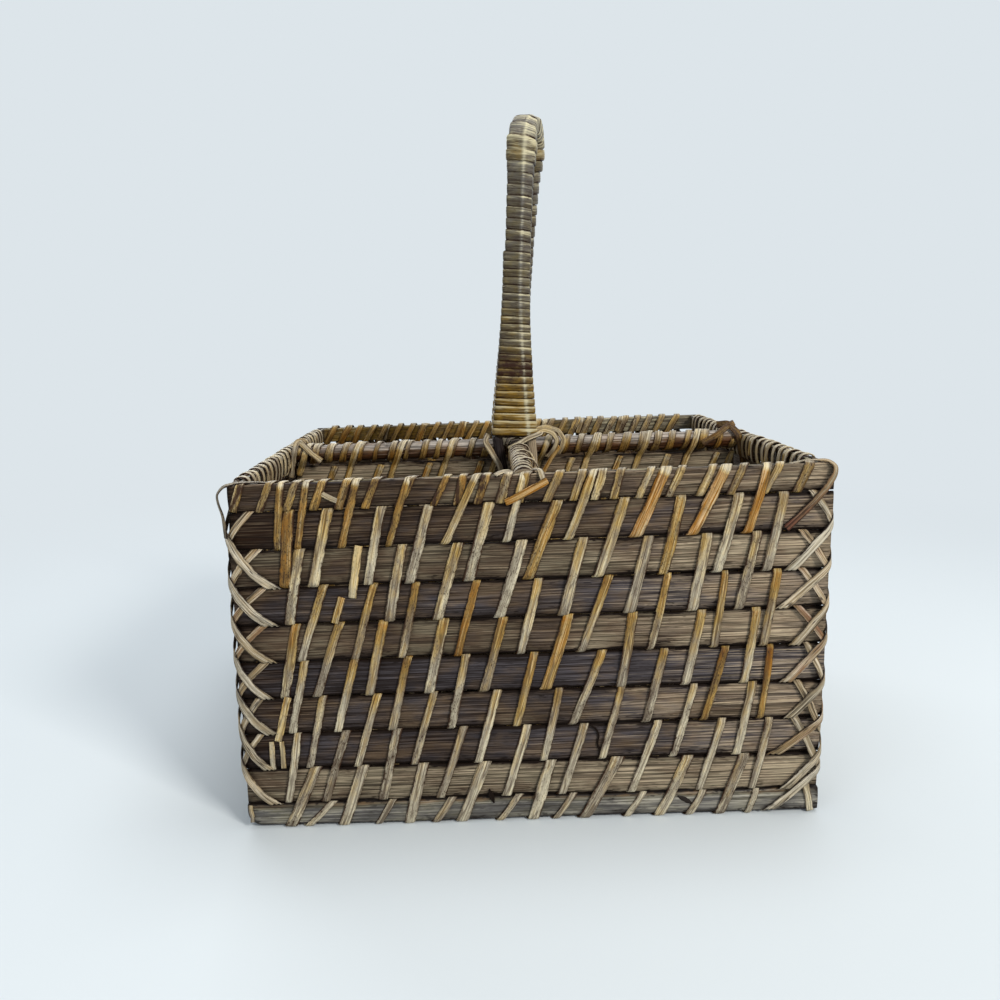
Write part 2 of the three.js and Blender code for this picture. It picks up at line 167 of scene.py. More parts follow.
# Peeled rattan rod: brown, long pores, grey on top, partly dust where hands and cutlery polished it and partly
# a painted sheen from above
rattanRod = strandMaterial("peeled_rattan_rod", {
    "grain": {"fibre": (36, 0.7, 3), "streak": (50, 2.2, 2), "blotch": (16, 5, 3), "hair": (50, 2.0, 1),
              "speck": (5, 1.2, 2)},
    "cool": "#aba49b", "middle": "#8c6c4a", "warm": "#784a22", "shade": "#5a4232", "bright": "#c9bdb0",
    "stainAndShade": "#1c0f08", "drift": 0.5, "streaks": 0.40, "lines": 0.55, "mottle": 0.5, "hairs": 0.7,
    "hairWidth": 0.10, "specks": 0.5, "patchy": 0.8, "washed": 0.7, "rough": 0.46, "gloss": 0.2,
    "relief": 0.6})
# Handle cane: flat strips worn smooth by hands, olive-gold at the foot, grey-beige above, painted shade in the
# creases
handleCane = strandMaterial("worn_handle_cane", {
    "grain": {"fibre": (14, 0.6, 3), "streak": (18, 1.7, 2), "blotch": (7, 3.6, 3), "hair": (22, 2.0, 1),
              "speck": (3, 1.1, 2)},
    "cool": "#88857e", "middle": "#8a7e5e", "warm": "#ab8630", "shade": "#5c5243", "bright": "#d3caa6",
    "stainAndShade": "#331b0f", "drift": 0.35, "streaks": 0.30, "lines": 0.35, "mottle": 0.35, "hairs": 0.5,
    "hairWidth": 0.08, "specks": 0.35, "patchy": 0.8, "washed": 0.85, "rough": 0.48, "gloss": 0.18,
    "relief": 0.4})
print("materials made:", len(bpy.data.materials))


# Quads of a tube of rings. A ring runs over the top from left to right and back below, so each end is closed
# by quads between its two halves
def tubeQuads(stations, ring, closed=False):
    first = np.arange(stations if closed else stations - 1)[:, None] * ring
    after = (first + ring) % (stations * ring)
    here = np.arange(ring)[None, :]
    beside = (here + 1) % ring
    sides = np.stack([first + here, first + beside, after + beside, after + here], -1).reshape(-1, 4)
    if closed:
        return sides
    j = np.arange(ring // 2 - 1)
    cap = np.stack([j + 1, j, ring - 1 - j, ring - 2 - j], -1)
    return np.concatenate([sides, cap, (stations - 1) * ring + cap[:, ::-1]])


# A strand turned inside out by its path has a negative volume, and its quads are then reversed
def facingOut(points, quads):
    a, b, c, d = (points[quads[:, k]] for k in range(4))
    volume = (a * np.cross(b, c)).sum() + (a * np.cross(c, d)).sum()
    return quads if volume > 0 else quads[:, ::-1]


# One object from strands; each strand is (points in mm, map, tint) on a grid of stations by ring, and has a
# fourth value if it closes on itself
def addPiece(name, strands, material, nodes=()):
    points, quads, maps, tints, start = [], [], [], [], 0
    for strand in strands:
        grid, strandMap, tint = strand[:3]
        closed = len(strand) > 3 and strand[3]
        flat = grid.reshape(-1, 3)
        quads.append(facingOut(flat, tubeQuads(grid.shape[0], grid.shape[1], closed)) + start)
        points.append(flat)
        maps.append(np.broadcast_to(strandMap, grid.shape[:2] + (2,)).reshape(-1, 2))
        tints.append(np.broadcast_to(tint, grid.shape[:2] + (3,)).reshape(-1, 3))
        start += len(flat)
    points, quads, maps, tints = map(np.concatenate, (points, quads, maps, tints))
    points[:, 2] *= 1 + basket["tallerPerMm"] * points[:, 0]
    mesh = bpy.data.meshes.new(name)
    mesh.from_pydata((points * 0.001).tolist(), [], quads.tolist())
    mesh.polygons.foreach_set("use_smooth", np.ones(len(quads), bool))
    layer = mesh.uv_layers.new(name="strand")
    layer.data.foreach_set("uv", maps[quads.ravel()].astype(np.float32).ravel())
    colour = mesh.attributes.new("tint", "FLOAT_COLOR", "POINT")
    colour.data.foreach_set("color", np.c_[tints, np.ones(len(tints))].astype(np.float32).ravel())
    mesh.materials.append(material)
    mesh.update()
    piece = bpy.data.objects.new(name, mesh)
    bpy.context.scene.collection.objects.link(piece)
    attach(piece, "root")
    if nodes:
        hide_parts(*nodes)


# Panels hold a flat frame: u along, n out of the face, h up. Walls are the front turned by quarter turns
panels = {
    "front": {"face": 113.0, "turn": 0, "half": 124.0}, "right": {"face": 124.0, "turn": 1, "half": 110.85},
    "back": {"face": 113.0, "turn": 2, "half": 124.0}, "left": {"face": 124.0, "turn": 3, "half": 110.85},
    "cross": {"face": 0.9, "turn": 0, "half": 121.4}, "long": {"face": 0.9, "turn": 1, "half": 110.4},
}


# Columns joined into points or tints, each spread to the shape of the others
def joined(*columns):
    return np.stack(np.broadcast_arrays(*columns), -1)


# Rows of numbers known at some places, read at others
def readAt(places, known, rows):
    return np.stack([np.interp(places, known, column) for column in rows.T], -1)


# A number drawn for each mark along a winding, read between the marks
def drawn(dice, places, marks, low, high):
    return np.interp(places, np.arange(marks), dice.uniform(low, high, marks))


# A panel's own (u, n, h) in the basket's frame; the base lies flat
def onPanel(panel, u, n, h):
    if panel == "base":
        return joined(u, h, n)
    turn = panels[panel]["turn"] * math.pi / 2
    out = panels[panel]["face"] + n
    return joined(u * math.cos(turn) + out * math.sin(turn), u * math.sin(turn) - out * math.cos(turn), h)


def distances(line):
    return np.r_[0, np.cumsum(np.linalg.norm(np.diff(line, axis=0), axis=1))]


# A polyline walked at even steps, with its corners eased by a moving average over a short reach
def easedLine(points, step, reach):
    points = np.asarray(points, float)
    far = distances(points)
    line = readAt(np.linspace(0, far[-1], max(int(far[-1] / step), 6) + 1), far, points)
    half = min(max(int(reach / step), 1), len(line) - 2)
    window = np.hanning(2 * half + 3)[1:-1]
    ends = np.concatenate([2 * line[:1] - line[half:0:-1], line, 2 * line[-1:] - line[-2:-half - 2:-1]])
    return np.stack([np.convolve(column, window / window.sum(), "valid") for column in ends.T], 1)


def unit(vectors):
    return vectors / np.maximum(np.linalg.norm(vectors, axis=-1, keepdims=True), 1e-9)


# Slow wander along a strand: a sum of three sines with drawn phases, about -1 to 1
def wander(dice, at, length):
    waves = dice.uniform(0.6, 1.7, 3) * 2 * math.pi / length
    return np.sin(np.multiply.outer(at, waves) + dice.uniform(0, 6.3, 3)).mean(-1) * 1.4


# Section of a cane strip, as shares of its width and thickness, and the painted shade along its edges
caneRing = np.array([(-.5, 0), (-.455, .30), (-.36, .43), (0, .5), (.36, .43), (.455, .30),
                     (.5, 0), (.46, -.30), (.37, -.38), (0, -.4), (-.37, -.38), (-.46, -.30)])
caneEdgeShade = np.array([.95, .62, .05, 0, .05, .62, .95, .9, .6, .5, .6, .9])


# One tint per station, spread round the ring, darkened where the ring holds painted edge shade, and on slats by
# grime at the cut ends
def withEdgeShade(tint, edgeShade):
    tint = tint[:, None] + np.zeros((1, edgeShade.shape[-1], 1))
    tint[..., 2] += edgeShade
    return tint


# A tint moved by a share towards another: worn skin where strips bend, a painted highlight along top edges
def towards(tint, share, worn):
    return tint * (1 - share) + share * np.array(worn)


# A cane ribbon: the ring carried along a path, its flat side facing the given way, its edges darkened with
# painted shade
def ribbon(path, facing, width, thickness, tint, mapStart, edgeShade=1.0):
    along = unit(np.gradient(path, axis=0))
    wide = unit(np.cross(along, facing))
    up = np.cross(wide, along)
    width = np.broadcast_to(width, len(path))[:, None, None]
    thickness = np.broadcast_to(thickness, len(path))[:, None, None]
    grid = (path[:, None] + wide[:, None] * caneRing[None, :, :1] * width
            + up[:, None] * caneRing[None, :, 1:] * thickness)
    across = caneRing[None, :, 0] * width[..., 0] + mapStart * 0.37
    strandMap = joined((distances(path) + mapStart)[:, None], across)
    return grid, strandMap, withEdgeShade(np.broadcast_to(tint, (len(path), 3)), caneEdgeShade * edgeShade)


# A slat is a flat lens in section: outer side crowned, long edges rounded and darkened with painted shade at
# the seams; it wanders lengthwise
slatRing = {
    "across": np.r_[-1, -.98, -.93, -.82, -.4, 0, .4, .82, .93, .98,
                    1, .98, .93, .82, .4, 0, -.4, -.82, -.93, -.98],
    "depth": np.r_[.5, .27, .10, .01, -.06, -.08, -.06, .01, .10, .27,
                   .5, .78, .94, 1, 1, 1, 1, 1, .94, .78],
    "edgeShade": np.r_[1.5, 1.5, 1.2, .45, 0, 0, 0, .22, 1.0, 1.5, 1.5, 1.2, .5, .1, .1, .1, .1, .1, .5, 1.2],
}
# Round the slat ring: how far the top edge of a rim takes a painted highlight from above
topHighlight = np.clip((slatRing["across"] - 0.85) * 8, 0, 1)[None, :, None]


def slat(panel, dice, start, end, bottom, top, thickness, tone, warmth, bow=0.35, lift=0.0, paleTop=0.0,
         roundEnd=0.0):
    u = np.linspace(start, end, max(int((end - start) / 2.6), 6))
    if roundEnd:
        u = np.r_[start + np.linspace(0, roundEnd, 12) ** 2 / roundEnd, u[u > start + roundEnd + 0.5]]
    across = slatRing["across"][None, :]
    upper, lower = (wander(dice, u, 70) * 0.15 + 0.02 for _ in range(2))
    h = (bottom + top) / 2 + across * (top - bottom) / 2
    h = h + (1 + across) / 2 * upper[:, None] - (1 - across) / 2 * lower[:, None]
    if roundEnd:  # below, the first end is worn to a quarter circle
        short = np.clip(roundEnd - (u - start), 0, roundEnd)
        worn = roundEnd - np.sqrt(roundEnd ** 2 - short ** 2)
        h = h + (1 - across) / 2 * worn[:, None]
    n = lift - slatRing["depth"][None, :] * thickness + (wander(dice, u, 110) * bow)[:, None]
    n = n + (wander(dice, u, 160) * 0.25)[:, None] * across
    offset = dice.uniform(0, 900, 2)
    strandMap = joined(u[:, None] + offset[0], h + offset[1])
    place = (u - start) / (end - start) * (len(tone) - 1)
    marks = np.arange(len(tone))
    tint = np.stack([np.interp(place, marks, tone) + 0.05 * wander(dice, u, 60),
                     np.interp(place, marks, warmth) + 0.08 * wander(dice, u, 80),
                     0.06 + 0.08 * wander(dice, u, 90)], -1)
    ends = np.clip(1 - np.minimum(u - start, end - u) / 5, 0, 1)  # cut ends are grimy
    # painted shade along the long edges where they meet the seams, and grime at the cut ends
    tint = withEdgeShade(tint, slatRing["edgeShade"] + 0.35 * ends[:, None])
    # a painted highlight from above along the top edge of a rim
    return onPanel(panel, u[:, None], n, h), strandMap, towards(tint, topHighlight * paleTop, (.85, .05, .0))


# The front's slats from the rim down to the foot: each one's own tone and warmth, and its share of a painted
# light falloff across the wall, darker at the left and paler at the right, towards the light
frontRows = {
    "tone": [.38, .30, .49, .45, .48, .36, .45, .39, .68, .58],
    "warmth": [.58, .42, .68, .25, .65, .0, .34, .18, .86, .12],
    "lightFalloff": [1, 1, 1, 1, 1, 1, 1, 1, .4, .4], "across": (-.18, .0, .42),
    # how far past the corner each row's right end was left when it was cut
    "rightEnd": [2.0, 2.0, 1.9, 1.8, 1.8, 1.8, 1.7, 1.5, 1.3, 2.2],
}
# Slivers and knots on the front's rows: points (place, height), width and tint; a pale sliver is a torn fibre
frontMarks = {
    7: [([(77.5, 51.6), (97, 52.0), (118, 51.8)], 1.3, (.95, .55, 0)),
        ([(80, 53.6), (93, 53.9)], .6, (.8, .4, 0))],
    8: [([(24.6, 43.8), (27.4, 42), (28.8, 39), (28.0, 35), (29.4, 31), (28.6, 28.8)], .9, (.1, .1, 1.6))],
    9: [([(-19.0, 15.2), (-18.2, 12.0), (-17.0, 8.8)], 2.4, (.1, .05, 1.7))],
    10: [([(63.6, 9.4), (67.0, 7.6), (70.4, 5.4)], 2.2, (.1, .05, 1.7)),
         ([(68.6, 3.6), (70.6, 2.2)], 1.6, (.1, .05, 1.0))],
}
slatDice = np.random.default_rng(31)
for side in walls:
    reach = panels[side]["half"]
    for row in range(1, 11):
        if side == "front":
            # painted light falloff: each front slat is darker at the left and paler at the right
            tone = frontRows["tone"][row - 1] + frontRows["lightFalloff"][row - 1] * np.array(frontRows["across"])
            warmth = (frontRows["warmth"][row - 1],) * 3
        else:
            tone = np.clip(slatDice.uniform(.22, .58) + slatDice.uniform(-.1, .1, 3), .15, .65)
            warmth = np.clip(slatDice.uniform(.1, .65) + slatDice.uniform(-.1, .1, 3), 0, .75)
        cut = slatDice.uniform(0, 0.9, 2)
        if row == 1:
            name, slotName, thickness = "rim_slat", "rim_bamboo", basket["slat"]
            bottom, top = basket["rimBottom"], rimTop
        elif row == 10:
            name, slotName, thickness = "foot_strip", "foot_bamboo", basket["foot"]
            bottom, top = basket["footBottom"], gaps[0] - basket["seam"] / 2
        else:
            name, slotName, thickness = "slat_%d" % (10 - row), "wall_bamboo", basket["slat"]
            bottom, top = gaps[9 - row] + basket["seam"] / 2, gaps[10 - row] - basket["seam"] / 2
        if side == "back" and row < 3:  # light shows through a slit below the back rim
            bottom, top = bottom + basket["slit"][0] * (row == 1), top - basket["slit"][1] * (row == 2)
        inset = basket["footInset"] if row == 10 and side in ("left", "right") else 0
        end = reach + frontRows["rightEnd"][row - 1] if side == "front" else reach - inset - cut[1]
        node = side + "_" + name
        # the rim slat's top edge takes a painted highlight
        strand = slat(side, slatDice, -reach + inset + cut[0], end, bottom, top, thickness, tone, warmth,
                      bow=0.2 if row in (1, 10) else 0.35, paleTop=0.8 if row == 1 else 0.0,
                      roundEnd=6.0 if row == 10 and side == "front" else 0.0)
        if row == 10:  # the foot's upper edge is split wood, browner than the skin
            strand[2][..., 1] += 0.7 * np.clip((slatRing["across"] - 0.5) * 4, 0, 1)
        strands = [strand]
        for points, width, tint in frontMarks.get(row, []) if side == "front" else []:
            line = easedLine(points, 0.6, 1.5)
            taper = np.minimum(1, 0.25 + np.minimum(distances(line), distances(line)[::-1]) / (1.5 * width))
            path = onPanel(side, line[:, 0], 0.4, line[:, 1])
            strands.append(ribbon(path, (0, -1, 0), width * taper, 0.5, tint, 7.0, 0.4))
        addPiece(node + "_split", strands, bambooSkin if row == 10 else agedSplitBamboo, [node])
print("wall slats made")


# A stake lies this far off the slats it passes over and under, bulges out or in between its seams, and turns
# through a seam within a short height; it repeats along a wall, and near a corner it is tucked away
stakeLie = {
    "over": 0.6, "under": 0.45, "bulge": 0.3, "seamBulge": 0.5, "sag": 0.1, "turn": 1.0, "step": 0.15,
    "ease": 0.9, "thickness": 0.9, "pastSeam": 1.6, "hidden": 7.0, "spacing": 25.6, "cornerSpace": 15.0,
}


# A stake's way down a panel, as (height, depth): outside the rows it passes over, inside the others,
# through the seams between; the corners are eased
def stakeWay(rows, overRows, start, end):
    way = list(start)
    levels = [outer + stakeLie["over"] if r in overRows else inner - stakeLie["under"]
              for r, (_, _, outer, inner) in enumerate(rows)]
    for r, (top, bottom, _, _) in enumerate(rows):
        over = r in overRows
        way.append(((top + bottom) / 2, levels[r] + (stakeLie["bulge"] if over else -stakeLie["sag"])))
        if r + 1 < len(rows):
            seam = (bottom + rows[r + 1][0]) / 2
            if (r + 1 in overRows) == over:
                way.append((seam, levels[r] + (stakeLie["seamBulge"] if over else -stakeLie["sag"])))
            else:
                way += [(seam + stakeLie["turn"], levels[r]), (seam - stakeLie["turn"], levels[r + 1])]
    return easedLine(way + list(end), stakeLie["step"], stakeLie["ease"])


# A stake is a flat strip in the unrolled panel (along u, down the way); every point takes its height and
# depth from the way, so the strip bends in straight lines along the slats' edges
def stake(panel, way, keys, places, widths, tints, dice, first, last):
    far = distances(way)
    s = np.linspace(first, last, max(int((last - first) / 1.05), 8))
    u = np.interp(s, keys, places)
    u = u + np.where(s < keys[0], (keys[0] - s) * 0.3, 0) - np.where(s > keys[-1], (s - keys[-1]) * 0.3, 0)
    pad = np.ones(3) / 3
    u = np.convolve(np.r_[2 * u[0] - u[1], u, 2 * u[-1] - u[-2]], pad, "valid") + wander(dice, s, 60) * 0.15
    lean = np.gradient(u, s)
    slant = np.sqrt(1 + lean ** 2)
    width = np.interp(s, keys, widths) * (1 + 0.05 * wander(dice, s, 30))
    a = caneRing[None, :, 0] * width[:, None]
    us = u[:, None] + a / slant[:, None]
    ss = s[:, None] - a * (lean / slant)[:, None]
    tangent = unit(np.gradient(way, axis=0))
    h, n = np.interp(ss, far, way[:, 0]), np.interp(ss, far, way[:, 1])
    rise = caneRing[None, :, 1] * stakeLie["thickness"]
    h = h + rise * np.interp(ss, far, tangent[:, 1])
    n = n - rise * np.interp(ss, far, tangent[:, 0])
    offset = dice.uniform(0, 700, 2)
    strandMap = joined(s[:, None] + offset[0], a + offset[1])
    share = np.interp(s, keys, np.arange(len(keys)))  # even at the top of a run, odd at its foot
    fade = np.where(share % 2 < 1, np.clip(1.5 * (share % 2), 0, 1) ** 0.85, 1 - (share % 2 - 1))
    tint = np.stack([(1 - fade) * np.interp(share, np.arange(0, len(keys), 2), column[0::2])
                     + fade * np.interp(share, np.arange(1, len(keys), 2), column[1::2])
                     for column in np.transpose(tints)], -1)
    tint[:, 2] += 0.12 * np.clip(wander(dice, s, 12), 0, 1)
    # where a run comes out of its seam, and where a strip folds over the rim or a bar, the skin is worn off
    bent = np.abs(s[:, None] - np.array(keys)[None, 0::2] - 2.1).min(1)
    tint = towards(tint, np.clip(1 - bent / 1.4, 0, 1)[:, None] * 0.55, (.80, .0, .06))
    tall = np.interp(s, far, way[:, 0])
    tint[:, 0] -= np.interp(tall, (54, 64, 86, 104), (0, .11, .11, 0))  # duller half way up
    tint[:, 1] *= np.interp(tall, (8, 50, 75), (.35, .55, 1.0))  # greyer near the foot
    # painted highlight: a strip is paler where it tops the rim or a bar, lit from above
    tint = towards(tint, np.clip((tall - rimTop + 2.2) / 1.4, 0, 1)[:, None] * 0.8, (.84, .02, .0))
    # painted shade along both edges of each strip, and a painted highlight on its right edge, towards the light
    tint = withEdgeShade(tint, caneEdgeShade) + np.clip(caneRing[:, :1] * 2, 0, 1) * np.array([.10, -.18, 0])
    return onPanel(panel, us, n, h), strandMap, tint


# A wall's rows from the rim down: top, bottom, and the depths of the outer and the inner face
wallRows = [(rimTop, basket["rimBottom"], 0.15, -1.8)]
wallRows += [(gaps[k + 1] - 0.2, gaps[k] + 0.2, 0.15, -1.8) for k in range(7, -1, -1)]
wallRows += [(gaps[0] - 0.2, basket["footBottom"], 0.15, -4.0)]
# How a stake starts and ends, as (height, depth)
overRim = [(rimTop - 9.1, -5.3), (rimTop - 1.1, -5.4), (rimTop + 0.25, -4.8), (rimTop + 0.35, -2.3),
           (rimTop + 0.3, -0.1), (rimTop - 1.1, 0.62)]
behindRim = [(rimTop - 2.2, -2.3), (rimTop - 6.7, -2.3)]
underFoot = [(1.7, 0.65), (0.42, 0.1), (0.38, -1.2), (0.38, -6.5)]
behindFoot = [(3.4, -4.5)]
# Three sets of stakes: the rows each passes over, the heights where its visible runs start and end, how far
# it has gone sideways there, its widths, and its colour: straw or gold at the top of a run, grey at its foot
stakeSets = {
    "a": {"over": (1, 2, 4, 5, 7, 8), "start": behindRim, "end": behindFoot,
          "keys": [gaps[8], gaps[6], gaps[5], gaps[3], gaps[2], gaps[0]],
          "steps": [0, -10, -21, -30, -41, -51], "first": 11.2,
          "widths": [4.5, 4.5, 4.2, 4.1, 3.8, 3.7], "warmth": [.42, .08, .88, .10, .60, .03]},
    "b": {"over": (2, 3, 5, 6, 8, 9), "start": behindRim, "end": underFoot,
          "keys": [gaps[7], gaps[5], gaps[4], gaps[2], gaps[1], 1.5],
          "steps": [0, -9.5, -21, -30, -41, -51], "first": 22.0,
          "widths": [4.6, 4.5, 3.7, 3.6, 5.0, 4.7], "warmth": [.42, .08, .88, .06, .45, .02]},
    "c": {"over": (0, 1, 3, 4, 6, 7, 9), "start": overRim, "end": underFoot,
          "keys": [rimTop - 0.3, gaps[7], gaps[6], gaps[4], gaps[3], gaps[1], gaps[0], 1.5],
          "steps": [0, -10.5, -21, -29, -39, -47, -58, -65], "first": 25.7,
          "widths": [3.6, 3.7, 3.7, 3.6, 3.7, 3.5, 3.1, 3.0],
          "warmth": [.50, .20, .84, .10, .80, .06, .28, .0]},
}
# Where the front's stakes run, in mm from the middle at each key height; None where a stake is hidden
frontStakes = {
    "a": [[-98.9, -102.2], [-83, -90.8, -98.3, -105.2], [-61.3, -68, -80.2, -91.9, -100.2, -106.3],
          [-41.9, -50.8, -62.2, -69.3, -79.7, -90.8], [-16.9, -26.6, -36.6, -44.3, -58, -65.8],
          [11.2, -1.6, -11.6, -21, -29.3, -41], [39, 27.9, 15.7, 5.7, -2.1, -12.1],
          [62.7, 54.9, 43.2, 37.7, 22.9, 11.8], [86.6, 77.7, 72.4, 65.4, 54.9, 42.1],
          [105.4, 98.8, 95.7, 91, 82.7, 72.1], [None, None, None, None, 103.2, 96]],
    "b": [[-95.4, -101.3], [None, None, -95.6, -102.7], [-53.3, -59.7, -74.7, -83.6, -93.3, -105.2],
          [-29.9, -39.9, -52.4, -60.4, -73, -82.4], [-3.6, -13.8, -27.7, -35.2, -47.4, -53.8],
          [22, 12.9, 1.2, -7.1, -20.4, -31], [49.3, 41, 30.4, 16.8, 8.2, 0.4],
          [73.8, 67.7, 56.8, 48.8, 37.3, 22.9], [94.6, 87.7, 82.9, 73.8, 68.2, 56],
          [None, None, 102.1, 98.8, 92.7, 82.7]],
    "c": [[-101.6, -104.4], [-91.3, -96.3], [-71.3, -78.3, -86.3, -97.4],
          [-50.2, -58.9, -65.2, -75.2, -88.6, -96.3], [-22.7, -36, -47.8, -55.2, -65.8, -75.8, -86.9, -96.9],
          [-3, -10.4, -22.7, -31.6, -41.9, -51.6, -60.8, -66.9],
          [25.7, 15.1, 3.4, -4.9, -14.9, -23.8, -34.9, -42.1], [55.4, 43.2, 32.7, 20.7, 11.8, 4.6, -6, -13.8],
          [80.4, 66.6, 57.7, 50.4, 38.4, 30.1, 17.9, 10.7], [97.7, 90.4, 81.6, 77.7, 69.9, 61, 48.8, 42.1],
          [None, None, 103.8, 98.8, 95.2, 88.8, 75.4, 69.3], [None] * 6 + [98.8, 95.4]],
}
# Runs of the front that stand out: set, place in its list, key at the run's top; then warmth, tone, stain and
# breadth. Amber cane at the right of the rim, dark mottled cane at its left, a few grey, split runs lower down
frontLooks = {
    ("c", 7, 0): (1.0, .66, .03, 1.35), ("c", 8, 0): (1.0, .68, .03, 1.4), ("c", 9, 0): (.95, .62, .04, 1.15),
    ("a", 0, 0): (.80, .48, .26, 1.1), ("c", 0, 0): (.60, .48, .26, .9), ("c", 1, 0): (.70, .46, .26, .9),
    ("c", 2, 0): (.70, .46, .28, .9), ("c", 3, 0): (.60, .44, .26, .9), ("a", 3, 4): (0.0, .50, .34, 1.0),
    ("a", 4, 4): (0.0, .52, .38, 1.0), ("b", 9, 2): (1.0, .40, .12, .9), ("b", 5, 2): (.95, .62, .04, 1.0),
    ("c", 5, 2): (1.0, .50, .10, 1.0), ("a", 6, 2): (.92, .70, .02, 1.1), ("b", 8, 2): (1.0, .42, .24, 1.0),
    ("a", 7, 0): (.55, .58, .20, 1.0), ("a", 5, 0): (.60, .60, .20, 1.1),
}


# Stakes of a wall that the photograph doesn't show: one of each set at even spaces, hidden near the corners
def plainStakes(made, half, dice):
    found = []
    for k in range(-5, 10):
        shift = dice.uniform(-1.5, 1.5, len(made["steps"]))
        places = made["first"] + k * stakeLie["spacing"] + np.array(made["steps"]) + shift
        shown = (np.abs(places.reshape(-1, 2)) < half - stakeLie["cornerSpace"]).all(1)
        if shown.any():
            found.append(np.where(np.repeat(shown, 2), places, np.nan))
    return found


# Each visible run keeps its slope a little past the seams at both ends, so it bends only where it is hidden
def pastSeams(keys, places):
    keys, places, past = keys.copy(), places.copy(), stakeLie["pastSeam"]
    for k in range(0, len(keys) - 1, 2):
        slope = (places[k + 1] - places[k]) / (keys[k + 1] - keys[k])
        keys[k], places[k] = keys[k] - past, places[k] - past * slope
        keys[k + 1], places[k + 1] = keys[k + 1] + past, places[k + 1] + past * slope
    return keys, places


# The stakes of one wall: a stake's known places become keys along its way, and its shades are drawn run by run
def weaveWall(side, dice):
    strands = []
    for letter, made in stakeSets.items():
        way = stakeWay(wallRows, made["over"], made["start"], made["end"])
        far = distances(way)
        peak = int(np.argmax(way[:, 0]))
        keyFar = np.interp(-np.array(made["keys"]), -way[peak:, 0], far[peak:])
        listed = frontStakes[letter] if side == "front" else plainStakes(made, panels[side]["half"], dice)
        for index, places in enumerate(listed):
            places = np.array(places, float)  # a place that is None becomes not a number
            shown = np.flatnonzero(~np.isnan(places))
            span = slice(shown[0], shown[-1] + 1)
            known = np.interp(keyFar[span], keyFar[shown], places[shown])
            keys, known = pastSeams(keyFar[span], known)
            runs = len(keys)
            warmth = np.array(made["warmth"])[span] + np.repeat(dice.uniform(-.22, .18, runs), 2)[:runs]
            tone = np.where(np.arange(runs) % 2 == 0, .56, .67)
            tone = tone + np.repeat(dice.uniform(-.16, .12, runs), 2)[:runs]
            stainAndShade = 0.02 + 0.26 * dice.random(runs) ** 3
            width = np.array(made["widths"])[span] * dice.uniform(.9, 1.08)
            for run in range(0, runs, 2) if side == "front" else ():
                look = frontLooks.get((letter, index, span.start + run))
                if look:
                    warmth[run:run + 2], tone[run:run + 2], stainAndShade[run:run + 2] = look[:3]
                    width[run:run + 2] *= look[3]
            first = 0.0 if shown[0] == 0 else keys[0] - stakeLie["hidden"]
            last = far[-1] if shown[-1] == len(made["keys"]) - 1 else keys[-1] + stakeLie["hidden"]
            strands.append(stake(side, way, keys, known, width, np.stack([tone, warmth, stainAndShade], 1), dice,
                                 max(first, 0.0), min(last, far[-1])))
    return strands


# Broken and patched strips on the front: (place, height) at the top and foot, width, warmth, tone
frontPatches = [
    ((-71.0, 126.6), (-74.9, 104.2), 3.6, .45, .76), ((-79.0, 104.6), (-82.4, 93.4), 3.3, .60, .62),
    ((-103.6, 61.0), (-108.9, 41.0), 3.3, .45, .74),
    ((-111.9, 40.8), (-111.4, 28.0), 2.4, .15, .66), ((-107.4, 40.8), (-107.1, 28.4), 2.2, .35, .74),
    ((-85.5, 149.4), (-78.6, 145.6), 2.4, .10, .62), ((120.2, 13.6), (122.8, 0.9), 3.2, .05, .70),
    ((-122.4, 11.2), (-122.0, 3.2), 1.8, .05, .58),
]


def patchStrip(dice, top, foot, width, warmth, tone):
    s = np.linspace(0, 1, 26)
    u = top[0] + (foot[0] - top[0]) * s + wander(dice, s * 30, 40) * 0.2
    h = top[1] + (foot[1] - top[1]) * s
    depth = 0.62 + 0.3 * np.sin(np.pi * s)
    tint = joined(tone + 0.08 * (1 - s), warmth + 0.3 * (0.5 - s), 0.05)
    return ribbon(onPanel("front", u, depth, h), (0, -1, 0), width, 0.75, tint, dice.uniform(0, 500))


stakeDice = np.random.default_rng(57)
for side in walls:
    strands = weaveWall(side, stakeDice)
    if side == "front":
        strands += [patchStrip(stakeDice, *patch) for patch in frontPatches]
    addPiece(side + "_cane_stakes", strands, flatCane)
print("stakes woven")


